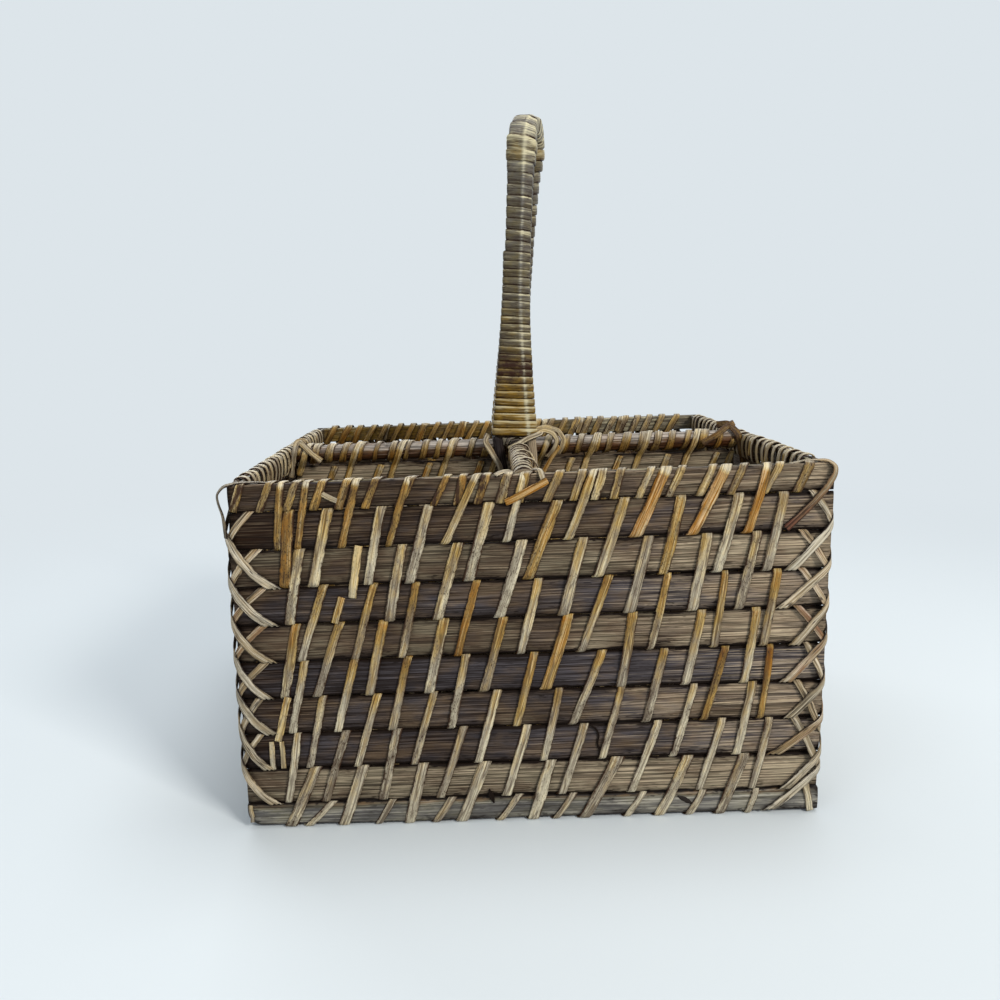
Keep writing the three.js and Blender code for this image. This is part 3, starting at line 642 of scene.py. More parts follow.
# The hoop is the slat ring carried round a rectangle with rounded corners
def rimHoop(dice):
    reachX, reachY = basket["halfWidth"] + basket["hoopOut"], basket["halfDepth"] + basket["hoopOut"]
    corner, bend = 4.0, np.linspace(0, math.pi / 2, 7)
    middles = np.array([(1, 1), (-1, 1), (-1, -1), (1, -1)]) * (reachX - corner, reachY - corner)
    loop, normals = [], []
    for k in range(4):
        angle = bend + k * math.pi / 2
        out = np.stack([np.cos(angle), np.sin(angle)], 1)
        turn = middles[k] + corner * out
        nextTurn = middles[(k + 1) % 4] + corner * out[-1]
        run = turn[-1] + (nextTurn - turn[-1]) * np.linspace(0, 1, 42)[1:-1, None]
        loop += [turn, run]
        normals += [out, np.repeat(out[-1:], len(run), 0)]
    loop, normals = np.concatenate(loop), np.concatenate(normals)
    far = distances(loop)
    loop = loop + normals * (0.3 * wander(dice, far, 120))[:, None]
    half = (rimTop - basket["rimBottom"] - basket["hoopNarrower"]) / 2
    flat = loop[:, None] - normals[:, None] * (slatRing["depth"] * basket["slat"])[None, :, None]
    up = np.broadcast_to(rimTop - half + slatRing["across"] * half, flat.shape[:2])
    grid = np.concatenate([flat, up[..., None]], -1)
    strandMap = joined(far[:, None], up)
    behind = np.clip(normals[:, 1], 0, 1)  # painted shade: golden at the back, whose inner face looks forward, and dark along the sides
    paler = behind * np.clip(loop[:, 0] / 50, 0, 1)
    tint = np.stack([.18 + .18 * behind + .20 * paler + .12 * wander(dice, far, 130),
                     .45 + .45 * behind - .55 * paler + .15 * wander(dice, far, 90), .22 - .16 * behind], -1)
    # a painted highlight along the hoop's top edge
    return grid, strandMap, towards(tint[:, None], topHighlight * 0.7, (.8, .1, .0)), True


hoopDice = np.random.default_rng(12)
addPiece("inner_rim_hoop_split", [rimHoop(hoopDice)], handleCane, ["inner_rim_hoop"])

# Rim whipping: one strip wound round rim slat and hoop. The section is a rounded rectangle that bulges inwards,
# walked from the outer foot up (stage 0 to 1), over the top (to 2), down the inside (to 3) and back below
# (to 4), while the strip moves along by a share of the pitch on each stage. Section points: depth, height
# above the top, the way the strip faces there (out, up), stage, and how much a slack turn rises
rimWinding = {
    "pitch": 8.2, "endPitch": 9, "endSpace": 13.0, "width": 3.6, "thickness": 0.8,
    "section": [(.50, -10.9, 1, -.3, 0, 0), (.64, -5.4, 1, 0, .5, 0), (.64, -1.4, 1, .3, .9, 0),
                (.25, .05, .5, .9, 1, .2), (-.9, .45, .2, 1, 1.25, .5), (-2.3, .6, 0, 1, 1.5, .7),
                (-3.8, .5, -.3, 1, 1.75, .5), (-5.0, -.05, -.7, .7, 2, .3), (-5.7, -1.5, -1, .35, 2.15, .1),
                (-6.1, -4.0, -1, 0, 2.4, 0), (-5.9, -7.6, -1, -.1, 2.7, 0), (-5.2, -10.7, -1, -.3, 2.95, 0),
                (-4.6, -11.35, -.4, -1, 3.1, 0), (-2.3, -11.45, 0, -1, 3.5, 0), (-.2, -11.4, .4, -1, 3.9, 0)],
    # shares of the pitch on the four stages, breadth, added tone, share of the gold
    "sides": {"front": ((.38, .16, .32, .14), 1.0, -.06, .80), "back": ((.12, .08, .70, .10), 1.15, -.14, .95),
              "left": ((.44, .12, .10, .34), 1.15, .12, .22), "right": ((.44, .12, .10, .34), 1.1, .06, .30)},
    # the front's turns as read, at the top of the outer face
    "front": [-118.2, -106.3, -95.8, -84.7, -74.9, -63.3, -48.6, -34.3, -27.7, -18.2, -9.3, -1.6, 11.8, 21.2,
              29.6, 37.0, 49.3, 62.1, 74.9, 87.7, 102.7, 115.4],
}


def whipRim(side, dice):
    made = rimWinding
    half = panels[side]["half"]
    if side == "front":
        tops = np.array(made["front"])
    else:
        count = int(2 * (half - made["endSpace"]) / made["pitch"]) + 1
        tops = (np.arange(count) - (count - 1) / 2) * made["pitch"] + dice.uniform(-1.1, 1.1, count)
    shares, broad, bright, gold = made["sides"][side]
    section = np.array(made["section"])
    turns, steps = len(tops), len(section)
    step = np.arange(turns * steps)
    n, h, dn, dh, stage, slack = section[step % steps].T
    # the place along the rim, counted in turns from the first turn's outer top
    moved = step // steps + np.interp(stage, np.arange(5), np.cumsum((0,) + shares)) - shares[0]
    u = np.interp(moved, np.arange(turns), tops)
    u = u + made["endPitch"] * (np.minimum(moved, 0) + np.maximum(moved - (turns - 1), 0))
    h = h + rimTop
    if side != "front":  # slacker turns stand up in low arches
        h = h + slack * np.repeat(dice.uniform(.2, 1.2, turns), steps)
    marks = turns + 1
    shake = drawn(dice, step / steps, marks, -.15, .3)
    path = onPanel(side, u, n + dn * shake * .5, h + dh * shake * .3)
    out = onPanel(side, u, n + dn, h + dh) - onPanel(side, u, n, h)
    fine = np.linspace(0, len(step) - 1, len(step) * 2 - 1)
    path, out = readAt(fine, step, path), readAt(fine, step, out)
    path[1:-1] = (path[:-2] + 2 * path[1:-1] + path[2:]) / 4  # corners eased
    turn = fine / steps
    width = made["width"] * broad * drawn(dice, turn, marks, .78, 1.15)
    tone = drawn(dice, turn, marks, .48, .74) + bright
    warmth = drawn(dice, turn, marks, .45, .95) * gold
    top = np.clip(1.3 - ((turn % 1 - 0.34) / 0.13) ** 2, 0, 1)  # painted highlight along the top edge
    soil = drawn(dice, turn, marks, 0, .34) * (.3 + .7 * gold)
    if side == "front":
        soil = soil + np.interp(turn, (0, 9, 12), (.34, .28, .04))
        warmth = warmth * np.interp(turn, (0, 9, 12), (.95, .85, .60))
    if side == "back":  # paler towards the right
        paler = np.clip(path[:, 0] / 50, 0, 1)
        tone, warmth = tone + .12 * paler, warmth * (1 - .5 * paler)
    tint = np.stack([tone + .16 * top, warmth * (1 - .9 * top), .02 + soil * (1 - top)], -1)
    return ribbon(path, out, width, made["thickness"], tint, dice.uniform(0, 400))


rimDice = np.random.default_rng(91)
for side in walls:
    addPiece("rim_whipping_%s_cane" % side, [whipRim(side, rimDice)], flatCane,
             ["rim_whipping_" + side])
print("rim hooped and whipped")

# Each lacing strip leaves a hole in one wall, turns steeply round the corner and flattens out to a hole of the
# next wall; places are (distance from the corner along the wall, height), minus on the front or back wall
lacing = {
    "width": 3.7, "thickness": 0.8, "clear": 0.45, "overLift": 0.7, "past": 4.0, "dive": 2.7, "diveHeight": 0.7,
    "cornerRound": 6.0, "bulgeReach": 5.5, "turnReach": 7, "lowest": 0.05,
    # shares of the distance from the corner, and of the drop, along a long and a short arm
    "slackArm": [(1, 1), (.52, .70), (.19, .36)], "tautArm": [(1, 1), (.55, .62), (.20, .28)],
    "shortArm": [(1, 1), (.38, .50)], "slackBulge": 0.5, "tautBulge": 1.8,
}


def lacingStrip(signX, signY, dice, points, width, tint, lift, bulge):
    points = np.array(points, float)
    seams = points[[0, -1], 1]
    first, last = unit(points[0] - points[1]), unit(points[-1] - points[-2])
    points = np.concatenate([points[:1] + first * lacing["past"], points, points[-1:] + last * lacing["past"]])
    line = easedLine(points, 0.45, 3.0)
    along, height = line[:, 0], np.maximum(line[:, 1], 0.5)
    # the corner is turned on a small radius: the distance along each wall past the corner is rounded off
    soft = np.sqrt(along ** 2 + lacing["cornerRound"])
    onFirst, onSecond = (soft - along) / 2, (soft + along) / 2
    far = distances(line)
    ends = np.minimum(far, far[-1] - far)
    swell = bulge * np.exp(-(along / lacing["bulgeReach"]) ** 2) + 0.5 + lift * np.clip((ends - 3) / 5, 0, 1)
    turned = along / lacing["turnReach"]
    facing = unit(np.stack([np.clip(0.5 + turned, 0, 1), np.clip(0.5 - turned, 0, 1), 0 * along], 1))
    x = basket["halfWidth"] - onFirst + facing[:, 0] * swell + lacing["clear"]
    y = basket["halfDepth"] - onSecond + facing[:, 1] * swell + lacing["clear"]
    path = np.stack([signX * x, signY * y, height], 1)
    facing = facing * (signX, signY, 1)
    grid, strandMap, tints = ribbon(path, facing, width, lacing["thickness"], tint, dice.uniform(0, 500))
    # every point past the seam sinks into it, so the end is cut level with the slat's edge
    for seam, way, wall, outward in ((seams[0], first[1], along < -4, (0, signY, 0)),
                                     (seams[1], last[1], along > 4, (signX, 0, 0))):
        past = np.clip((grid[..., 2] - seam) * np.sign(way) / lacing["diveHeight"], 0, 1) * wall[:, None]
        grid -= (past ** 2 * (3 - 2 * past) * lacing["dive"])[..., None] * np.array(outward)
    grid[..., 2] = np.maximum(grid[..., 2], lacing["lowest"])  # flat on the table where it goes under the foot
    return grid, strandMap, tints


# Long strips rise from a hole on the front to the corner, short ones fall from a hole to it: (distance, height)
# of the hole, the height at the corner, warmth and tone, read at the two front corners
frontLacing = {
    "left": {"long": [(-17.8, 109.4, 132, .30, .70), (-15.8, 93.6, 112.4, .2, .64),
                      (-14.4, 77.2, 94.4, .3, .60), (-12.5, 61, 78.4, .2, .62), (-13.5, 44.9, 62.4, .1, .6),
                      (-11, 28.4, 46.4, .2, .58), (-13, 11.6, 29.4, .3, .6)],
             "short": [(-9, 142.4, 130.4, .45, .66), (-11, 126.4, 112.4, .45, .62), (-13, 110, 96.4, .55, .6),
                       (-12, 93.4, 80.4, .6, .6), (-12, 77, 63.4, .4, .55), (-8.5, 60.6, 46.4, .3, .55),
                       (-8, 44.4, 31.4, .3, .55)]},
    "right": {"long": [(-15.5, 110, 128.4, .05, .70), (-18.6, 93.8, 111.4, .45, .66),
                       (-12.2, 77.4, 94.4, .4, .6), (-15.4, 60.4, 79.4, .62, .6), (-13.2, 44.2, 60.4, .2, .58),
                       (-19.2, 26.8, 43.9, .55, .56), (-13.6, 11.2, 28.4, .2, .62), (-20, 2.0, 21.4, .1, .74)],
              "short": [(-7, 142, 130.4, .2, .66), (-10.5, 126, 109.9, .55, .62), (-10, 109.6, 93.9, .55, .6),
                        (-11, 93.4, 78.4, .7, .56), (-6.5, 76.8, 61.4, .3, .6), (-10, 60.2, 39.4, .3, .55),
                        (-10.5, 43.4, 22.4, .2, .6)]},
}


# The strips of one corner; those of the back corners, which the photograph doesn't show, are drawn
def laceCorner(name, signX, signY, dice):
    strands = []
    made = frontLacing.get(name)
    if made is None:
        made = {"long": [(-17 + dice.uniform(-3, 3), z, z + 18 + dice.uniform(-2, 2), dice.uniform(0, .6),
                          dice.uniform(.5, .74)) for z in gaps[:7]],
                "short": [(-12 + dice.uniform(-2, 2), z, z - 13 + dice.uniform(-2, 2), dice.uniform(.2, .7),
                           dice.uniform(.5, .7)) for z in gaps[2:]]}
    hold = "taut" if name == "right" else "slack"
    for kind in ("short", "long"):
        for hole, start, corner, warm, tone in made[kind]:
            if kind == "long":
                first, second, far, end = hold + "Arm", "shortArm", 12 + dice.uniform(-2, 2), corner + 14
            else:
                first, second, far, end = "shortArm", hold + "Arm", 17 + dice.uniform(-3, 3), corner - 18
            end = min(gaps, key=lambda z: abs(z - end)) if end > 4 else 2.0
            nearest = min(gaps, key=lambda z: abs(z - start))
            start = nearest if abs(nearest - start) < 3 else start
            points = [(hole * share, corner + (start - corner) * drop) for share, drop in lacing[first]]
            points += [(0, corner)]
            points += [(far * share, corner + (end - corner) * drop) for share, drop in lacing[second][::-1]]
            width = lacing["width"] * dice.uniform(.88, 1.08) * (1 if kind == "long" else .85)
            lift = lacing["overLift"] if kind == "long" else 0
            tint = (tone + .08, warm, dice.uniform(0, .08))
            strands.append(lacingStrip(signX, signY, dice, points, width, tint, lift, lacing[hold + "Bulge"]))
    return strands


# The top strip of each front corner goes on up, slack, and over the rim's corner: points in mm, the way the
# strip faces at each, its width, and its tint at both ends
slackLacing = {
    "left": ([(-103, -108.4, 152.9), (-111, -110.4, 154.3), (-119, -112.0, 154.7), (-124.8, -113.4, 153.6),
              (-127.3, -114.6, 150.4), (-126.6, -115.2, 146.6), (-125.1, -115.2, 141.6), (-124.6, -114.8, 132)],
             [(0, 0, 1), (0, 0, 1), (0, -.2, 1), (-.6, -.5, .6), (-.9, -.4, .2), (-.9, -.5, 0), (-.8, -.6, 0),
              (-.7, -.7, 0)], 2.3, [(.78, .05, .0), (.30, .05, .30)]),
    "right": ([(106.6, -113.4, 127.2), (111, -114.5, 131.8), (117, -115.2, 138), (122.3, -115.4, 144.2),
               (125.6, -115.0, 149.3), (126.2, -113.8, 152.6), (123.4, -111.2, 154.7), (115, -109.2, 154.5),
               (108, -108.4, 153.0)],
              [(0, -1, 0), (0, -1, 0), (0, -1, 0), (.3, -1, 0), (.7, -.8, .2), (.6, -.6, .6), (.1, -.2, 1),
               (0, 0, 1), (0, 0, 1)], 3.3, [(.42, 1.0, .22), (.78, .15, .0)]),
}
laceDice = np.random.default_rng(23)
for name, key, signX, signY in (("front_left", "left", -1, -1), ("front_right", "right", 1, -1),
                                ("back_left", "", -1, 1), ("back_right", "", 1, 1)):
    strands = laceCorner(key, signX, signY, laceDice)
    if key:
        points, facing, width, tint = slackLacing[key]
        line = easedLine(np.c_[points, facing], 0.7, 2.6)
        tint = np.array(tint[:1]) + np.linspace(0, 1, len(line))[:, None] * np.subtract(tint[1], tint[0])
        strands.append(ribbon(line[:, :3], line[:, 3:], width, 0.75, tint, 31.0))
    addPiece("corner_lacing_%s_cane" % name, strands, cornerCane, ["corner_lacing_" + name])
print("corners laced")

# The base is slats side by side from left to right, with cane strips woven through them from front to back
base = {"slats": 14, "reachX": 119.95, "reachY": 109.2, "bottom": 0.55, "top": 2.6, "binders": 16,
        "halfSeam": 0.25, "spacing": 14.4, "over": 2.62, "under": 0.42}


def weaveBase(dice):
    slats, binders = [], []
    edges = np.linspace(-base["reachY"], base["reachY"], base["slats"] + 1)
    for low, high in zip(edges[:-1], edges[1:]):
        tone = np.clip(dice.uniform(.3, .55) + dice.uniform(-.1, .1, 3), .2, .6)
        slats.append(slat("base", dice, -base["reachX"], base["reachX"], low + base["halfSeam"],
                          high - base["halfSeam"], base["top"] - base["bottom"] - .5, tone,
                          (dice.uniform(.3, .6),) * 3, bow=0.08, lift=base["top"] - .35))
    seams = edges[1:-1]
    for k in range(base["binders"]):
        x = (k - (base["binders"] - 1) / 2) * base["spacing"] + dice.uniform(-1, 1)
        y = np.linspace(-base["reachY"] + 1, base["reachY"] - 1, 230)
        row = np.searchsorted(seams, y)
        over = np.where((row + k) % 3 < 2, base["over"], base["under"])
        window = np.hanning(9)[1:-1]
        z = np.convolve(np.pad(over, 3, mode="edge"), window / window.sum(), "valid")
        path = np.stack([x + 0.5 * wander(dice, y, 60), y, z], 1)
        tint = (dice.uniform(.45, .65), dice.uniform(.2, .6), .1)
        binders.append(ribbon(path, (0, 0, 1), 3.4, 0.6, tint, dice.uniform(0, 400)))
    return slats, binders


baseDice = np.random.default_rng(44)
baseSlats, baseBinders = weaveBase(baseDice)
addPiece("base_panel_slats", baseSlats, agedSplitBamboo, ["base_panel"])
addPiece("base_cane_binders", baseBinders, flatCane)

# Bars are the rods on top of the dividers, each whipped with cane
bar = {"height": 151.3, "radius": 4.5, "frontRadius": 3.9, "frontEnd": (-2.2, -106.9, 151.4), "reachX": 117.9,
       "reachY": 106.9, "fromMiddle": 5.4, "pitch": 8.2, "width": 3.7, "thickness": 0.75, "runOut": 0.45}
# Dividers have rows like the wall's, raised to meet the bars; below half height the long one is cut round the
# cross one, and above the cross one round the long one, as the two slot together
divider = {
    "raised": 3.0, "foot": 3.6, "slot": 1.4, "slotsMeet": 70, "drift": 62, "leastLength": 30, "sideSpace": 6,
    "topShort": 4.8, "footShort": 2.2,
    "sets": {"a": {"over": (0, 1, 3, 4, 6, 7), "first": 6.0}, "b": {"over": (1, 2, 4, 5, 7, 8), "first": 14.5},
             "c": {"over": (0, 2, 3, 5, 6, 8), "first": 23.0}},
}
dividerRows = [(gaps[k + 1] + divider["raised"] - 0.2, gaps[k] + divider["raised"] + 0.2, 0.1, -1.8)
               for k in range(7, -1, -1)] + [(gaps[0] + divider["raised"] - 0.2, divider["foot"], 0.1, -1.8)]
# set c starts behind the bar and goes over it: (height above the bar's middle, depth)
overBar = [(bar["height"] + up, out) for up, out in (
    (-3.7, -5.8), (.9, -5.9), (4.2, -4.2), (5.4, -.9), (4.2, 2.6),
    (.9, 4.3), (-2.4, 4.2), (-5.2, 2.5), (-7.6, .8))]
dividerStarts = {"a": [(144.4, 0.6)], "b": [(144.0, -2.3)], "c": overBar}


def weaveDivider(panel, dice, cutAbove):
    reach = panels[panel]["half"]
    slats, strands = [], []
    for r, (top, bottom, _, _) in enumerate(dividerRows):
        tone = np.clip(dice.uniform(.56, .74) + dice.uniform(-.08, .08, 3), .2, .8)
        warmth = (dice.uniform(.55, .85),) * 3
        if r < 2:  # the upper rows are paler
            tone = np.minimum(tone + .14, .84)
        end = reach - {0: divider["topShort"], 8: divider["footShort"]}.get(r, 0)
        cut = (bottom > divider["slotsMeet"]) == cutAbove
        for start, stop in ((-end, -divider["slot"]), (divider["slot"], end)) if cut else ((-end, end),):
            # the top row takes a painted highlight along its top edge
            slats.append(slat(panel, dice, start, stop, bottom, top, basket["slat"], tone, warmth, bow=0.12,
                              paleTop=0.5 if r == 0 else 0.0))
    for letter, made in divider["sets"].items():
        way = stakeWay(dividerRows, made["over"], dividerStarts[letter],
                       [(4.0, 0.55 if 8 in made["over"] else -2.2)])
        far = distances(way)
        for k in range(-5, 7):
            top = made["first"] + k * stakeLie["spacing"] + dice.uniform(-1.6, 1.6)
            places = np.array([top, top - divider["drift"]])
            keys = np.array([0.0, far[-1]])
            shown = np.abs(np.interp(far, keys, places)) < reach - divider["sideSpace"]
            if shown.sum() * stakeLie["step"] < divider["leastLength"]:
                continue
            first, last = far[shown][0], far[shown][-1]
            tint = [(dice.uniform(.5, .68), dice.uniform(.4, .8), .1), (.55, dice.uniform(.2, .5), .1)]
            strands.append(stake(panel, way, keys, places, [3.6, 3.4], np.array(tint), dice, first, last))
    return slats, strands


dividerDice = np.random.default_rng(65)
for panel, cutAbove in (("cross", True), ("long", False)):
    slats, strands = weaveDivider(panel, dividerDice, cutAbove)
    addPiece(panel + "_divider_slats", slats, agedSplitBamboo, [panel + "_divider_panel"])
    addPiece(panel + "_divider_stakes", strands, flatCane)
print("base and dividers woven")


# A rod is a circle carried along a line, its radius wandering by a few tenths; pale above, with dust and a
# painted sheen from above, brown below
def rod(dice, start, end, girth, dustAndSheen):
    start, end = np.array(start, float), np.array(end, float)
    length = np.linalg.norm(end - start)
    t = np.r_[0, 0.004, np.linspace(0.02, 0.98, 60), 0.996, 1]
    angle = (0.5 - np.arange(20) / 20) * 2 * math.pi
    side = np.cross((end - start) / length, (0, 0, 1))
    radius = girth * (1 + 0.02 * wander(dice, t * length, 60))
    radius = radius * np.minimum(1, 0.82 + 60 * np.minimum(t, 1 - t))
    centre = start + (end - start) * t[:, None]
    ring = np.cos(angle)[:, None] * side + np.sin(angle)[:, None] * np.array([0, 0, 1.0])
    grid = centre[:, None] + ring[None] * radius[:, None, None]
    strandMap = joined((t * length)[:, None], np.abs(np.arange(20) - 10)[None] * 1.55)
    topSide = (np.clip(ring[:, 2] * 1.6 + 0.3, 0, 1) + 0 * t[:, None]) * dustAndSheen
    tint = np.stack([.40 + .34 * topSide, .90 - .84 * topSide, .14 - .12 * topSide + .5 * (1 - dustAndSheen)], -1)
    return grid, strandMap, tint


# A whipping is a helix round a rod: one turn per pitch, leaning to the right on the side that faces the front
def whipBar(dice, axis, start, end, girth, broad=1.0):
    turns = max(int(round(abs(end - start) / bar["pitch"])), 1)
    t = np.linspace(0, turns, turns * 16 + 1)
    marks = turns + 1
    place = np.interp(t, np.arange(marks), np.linspace(start, end, marks) + dice.uniform(-1, 1, marks))
    angle = 2 * math.pi * t
    radius = girth + bar["runOut"] + drawn(dice, t, marks, -.05, .25)
    out = np.stack([0 * t, -np.cos(angle), np.sin(angle)], 1)
    if axis == "y":
        out = np.stack([np.cos(angle), 0 * t, np.sin(angle)], 1)
    path = out * radius[:, None] + np.array([0, 0, bar["height"]])
    path[:, 0 if axis == "x" else 1] += place
    if end < 0 and axis == "y":  # the front bar runs to the left of the middle
        share = (place + bar["fromMiddle"]) / (bar["frontEnd"][1] + bar["fromMiddle"])
        share = np.clip(share, 0, 1)[:, None]
        path[:, [0, 2]] += share * (bar["frontEnd"][0], bar["frontEnd"][2] - bar["height"])
    # painted light: each turn is paler and greyer on top and darker below
    top = np.clip(out[:, 2], 0, 1)
    tone = drawn(dice, t, marks, .34, .56)
    warmth = drawn(dice, t, marks, .35, .80)
    tint = np.stack([tone + .22 * top, warmth * (1 - top), .26 * (1 - top)], 1)
    uneven = dice.uniform(.6, 1.3, marks) ** (1 / broad)
    width = bar["width"] * broad * np.interp(t, np.arange(marks), uneven)
    return ribbon(path, out, width, bar["thickness"], tint, dice.uniform(0, 400))


barDice = np.random.default_rng(78)
height, girth, reachX, reachY, inner = (bar[k] for k in ("height", "radius", "reachX", "reachY", "fromMiddle"))
for name, start, end, radius, dustAndSheen in (
        ("cross_divider_bar", (-reachX, 0, height), (reachX, 0, height), girth, 1.0),
        ("long_divider_bar_front", bar["frontEnd"], (0, -inner, height), bar["frontRadius"], 0.0),
        ("long_divider_bar_rear", (0, inner, height), (0, reachY, height), girth, 1.0)):
    addPiece(name + "_rod", [rod(barDice, start, end, radius, dustAndSheen)], rattanRod, [name])
# the whippings stop short of the bars' ends and of the handle; the front bar's turns are broader
crossTurns = [whipBar(barDice, "x", -115, -17, girth), whipBar(barDice, "x", 17, 115, girth)]
longTurns = [whipBar(barDice, "y", -106.5, -20, bar["frontRadius"], 1.5), whipBar(barDice, "y", 21, 104, girth)]
addPiece("cross_bar_whipping_cane", crossTurns, flatCane, ["cross_bar_whipping"])
addPiece("long_bar_whipping_cane", longTurns, flatCane, ["long_bar_whipping"])
print("divider bars whipped")

# The loop: up the near leg, round a half circle and down the far leg. It leans right and twists as it rises
handle = {
    "crotch": 157.9, "crown": 300.4, "legMiddle": 12.0, "top": 316.4, "lean": 9.2, "twist": 16.0, "curve": 1.6,
    "shift": -1.75, "legWidth": 12.0, "baseWidth": 22.5, "flare": 80.0, "wrapOut": 0.6, "wrapThickness": 0.95,
    # section round the leg: flat back, two front faces that meet in a ridge right of the middle
    "section": [(-5.4, -4.2), (5.6, -4.2), (6.0, -2.5), (6.0, 2.2), (1.9, 5.1), (-5.6, 3.6), (-5.8, -2.5)],
    "ridge": 1.9, "ridgeDrop": 1.3,
    # heights above the foot: where the wrap changes, its fat turns, its dark band, and the start of the crown
    "break": 91, "fatTurns": 141, "darkBand": 35.5, "crownFrom": 132,
    # by distance from the foot: the wrap's pitch, its gold, and how much paler or darker it is
    "pitch": [(0, 3.9), (36, 3.7), (86, 3.9), (96, 5.4), (190, 5.4)],
    "honey": [(0, 1.0), (22, .95), (34, .85), (44, .65), (70, .40), (110, .30), (150, .10)],
    "level": [(0, .05), (24, .02), (50, -.07), (76, -.13), (110, -.12), (136, -.02), (150, .15), (165, .19)],
    # a prong of the core, below the leg: distance from the middle, height
    "prong": [(8.6, 158.5), (8.4, 147.4), (7.6, 139.4), (4.3, 123.4), (3.6, 111.4), (3.6, 60.4)],
}
legLength = handle["crown"] - handle["crotch"]
crownLength = math.pi * handle["legMiddle"]
loopLength = 2 * legLength + crownLength


# A point beside the loop: the middle line goes straight up, round a half circle and straight down; the lean and
# the twist grow with a power of the height above the crotch
def besideLoop(along, sideways, out):
    turned = np.clip((along - legLength) / handle["legMiddle"], 0, math.pi)
    below = np.maximum(np.maximum(legLength - along, along - legLength - crownLength), 0)
    radius = handle["legMiddle"] + out
    y = -radius * np.cos(turned)
    z = handle["crown"] - below + radius * np.sin(turned)
    rise = np.clip((z - handle["crotch"]) / (handle["top"] - handle["crotch"]), 0, None) ** handle["curve"]
    angle = -np.radians(handle["twist"]) * rise
    x = sideways * np.cos(angle) - y * np.sin(angle) + handle["lean"] * rise + handle["shift"]
    return joined(x, sideways * np.sin(angle) + y * np.cos(angle), z)


# How much wider than at the top the leg is: it flares towards the foot
def flare(along):
    fromFoot = np.minimum(along, loopLength - along)
    spread = np.clip(1 - fromFoot / handle["flare"], 0, 1)
    return 1 + (handle["baseWidth"] / handle["legWidth"] - 1) * spread ** 1.5


sectionLine = easedLine(handle["section"] + handle["section"][:1], 0.2, 0.7)
sectionFar = distances(sectionLine) / distances(sectionLine)[-1]


# The section's point at a share of the way round it, and the way out of it there
def sectionAt(share):
    share = np.asarray(share) % 1
    point = readAt(share, sectionFar, sectionLine)
    run = unit(readAt((share + .01) % 1, sectionFar, sectionLine) - point)
    return point, np.stack([run[..., 1], -run[..., 0]], -1)


# A wrap is one strip wound up the leg, at a wider pitch above a break two thirds of the way up. Each turn
# has a painted highlight on its upper edge, painted shade on its lower; it is widened where the loop's bend
# spreads the turns
def wrapLeg(dice, start, end, far):
    grid = np.linspace(start, end, 400)
    fromFoot = np.minimum(grid, loopLength - grid)
    pitch = np.interp(fromFoot, *zip(*handle["pitch"]))
    turnsAt = np.r_[0, np.cumsum(np.diff(grid) / ((pitch[1:] + pitch[:-1]) / 2))]
    turns = int(round(turnsAt[-1]))
    turnsAt = turnsAt * turns / turnsAt[-1]
    t = np.linspace(0, turns, turns * 64 + 1)
    along = np.interp(t, turnsAt, grid)
    fromFoot = np.minimum(along, loopLength - along)
    marks = turns + 2
    point, normal = sectionAt(0.07 - t if far else t + 0.07)
    wide = flare(along)
    shake = drawn(dice, t, marks, -.22, .28)
    tight = np.clip((fromFoot - handle["break"]) / 5, 0, 1)  # above, the wrap is thinner and sits to the right
    fat = np.exp(-((fromFoot - handle["fatTurns"]) / 7) ** 2)
    out = handle["wrapOut"] + shake * 0.35 - 0.3 * tight + 0.65 * fat
    side = point[:, 0] * (wide - 0.05 * tight) + normal[:, 0] * out + 0.35 * tight
    front = point[:, 1] + normal[:, 1] * out
    crown = np.clip((fromFoot - handle["crownFrom"]) / 14, 0, 1)  # at the crown the ridge is worn round
    nearRidge = np.exp(-((point[:, 0] - handle["ridge"]) / 3.2) ** 2)
    front = front - handle["ridgeDrop"] * crown * nearRidge * (front > 0)
    path = besideLoop(along, side, front)
    facing = besideLoop(along, side + normal[:, 0], front + normal[:, 1]) - path
    stretch = np.linalg.norm(besideLoop(along + 0.5, side, front) - path, axis=1) / 0.5
    width = np.interp(along, grid, pitch) * stretch * (1 + drawn(dice, t, marks, -.08, .06))
    thickness = handle["wrapThickness"] + 1.1 * fat
    honey = np.interp(fromFoot, *zip(*handle["honey"])) + .5 * fat
    dark = np.exp(-((fromFoot - handle["darkBand"]) / 6.4) ** 2)
    level = np.interp(fromFoot, *zip(*handle["level"]))
    low = np.clip(1 - fromFoot / 70, 0, 1)
    ridgeAt = handle["ridge"] + 1.7 * low  # the painted ridge highlight runs towards the right edge at the foot
    # painted light: the right face is paler, and a painted highlight runs along the ridge
    onRight = np.clip((point[:, 0] - ridgeAt) / 0.8, 0, 1) * (point[:, 1] > 0)
    ridge = np.exp(-((point[:, 0] - ridgeAt - .2) / 0.5) ** 2) * (point[:, 1] > 0) * (1 + low)
    tone = drawn(dice, t, marks, .36, .56) + level - .26 * dark + .1 * onRight + .26 * ridge
    warmth = honey + drawn(dice, t, marks, -.2, .15) - .45 * ridge - .1 * onRight
    stainAndShade = .03 + drawn(dice, t, marks, 0, .16) + .66 * dark - .1 * ridge
    tint = np.stack([tone, warmth, stainAndShade], 1)
    strand = ribbon(path, facing, width, thickness, tint, dice.uniform(0, 400), 0.75)
    # painted highlight along each turn's upper edge; the lower edge keeps its painted shade
    upwards = np.sign(np.cross(np.gradient(path, axis=0), facing)[:, 2].mean())
    upperEdgeHighlight = np.exp(-((upwards * caneRing[:, 0] - .40) / .06) ** 2) * (caneRing[:, 1] > 0)
    strand[2][..., 0] += (.42 + .25 * low)[:, None] * upperEdgeHighlight
    strand[2][..., 2] -= .55 * upperEdgeHighlight
    return strand


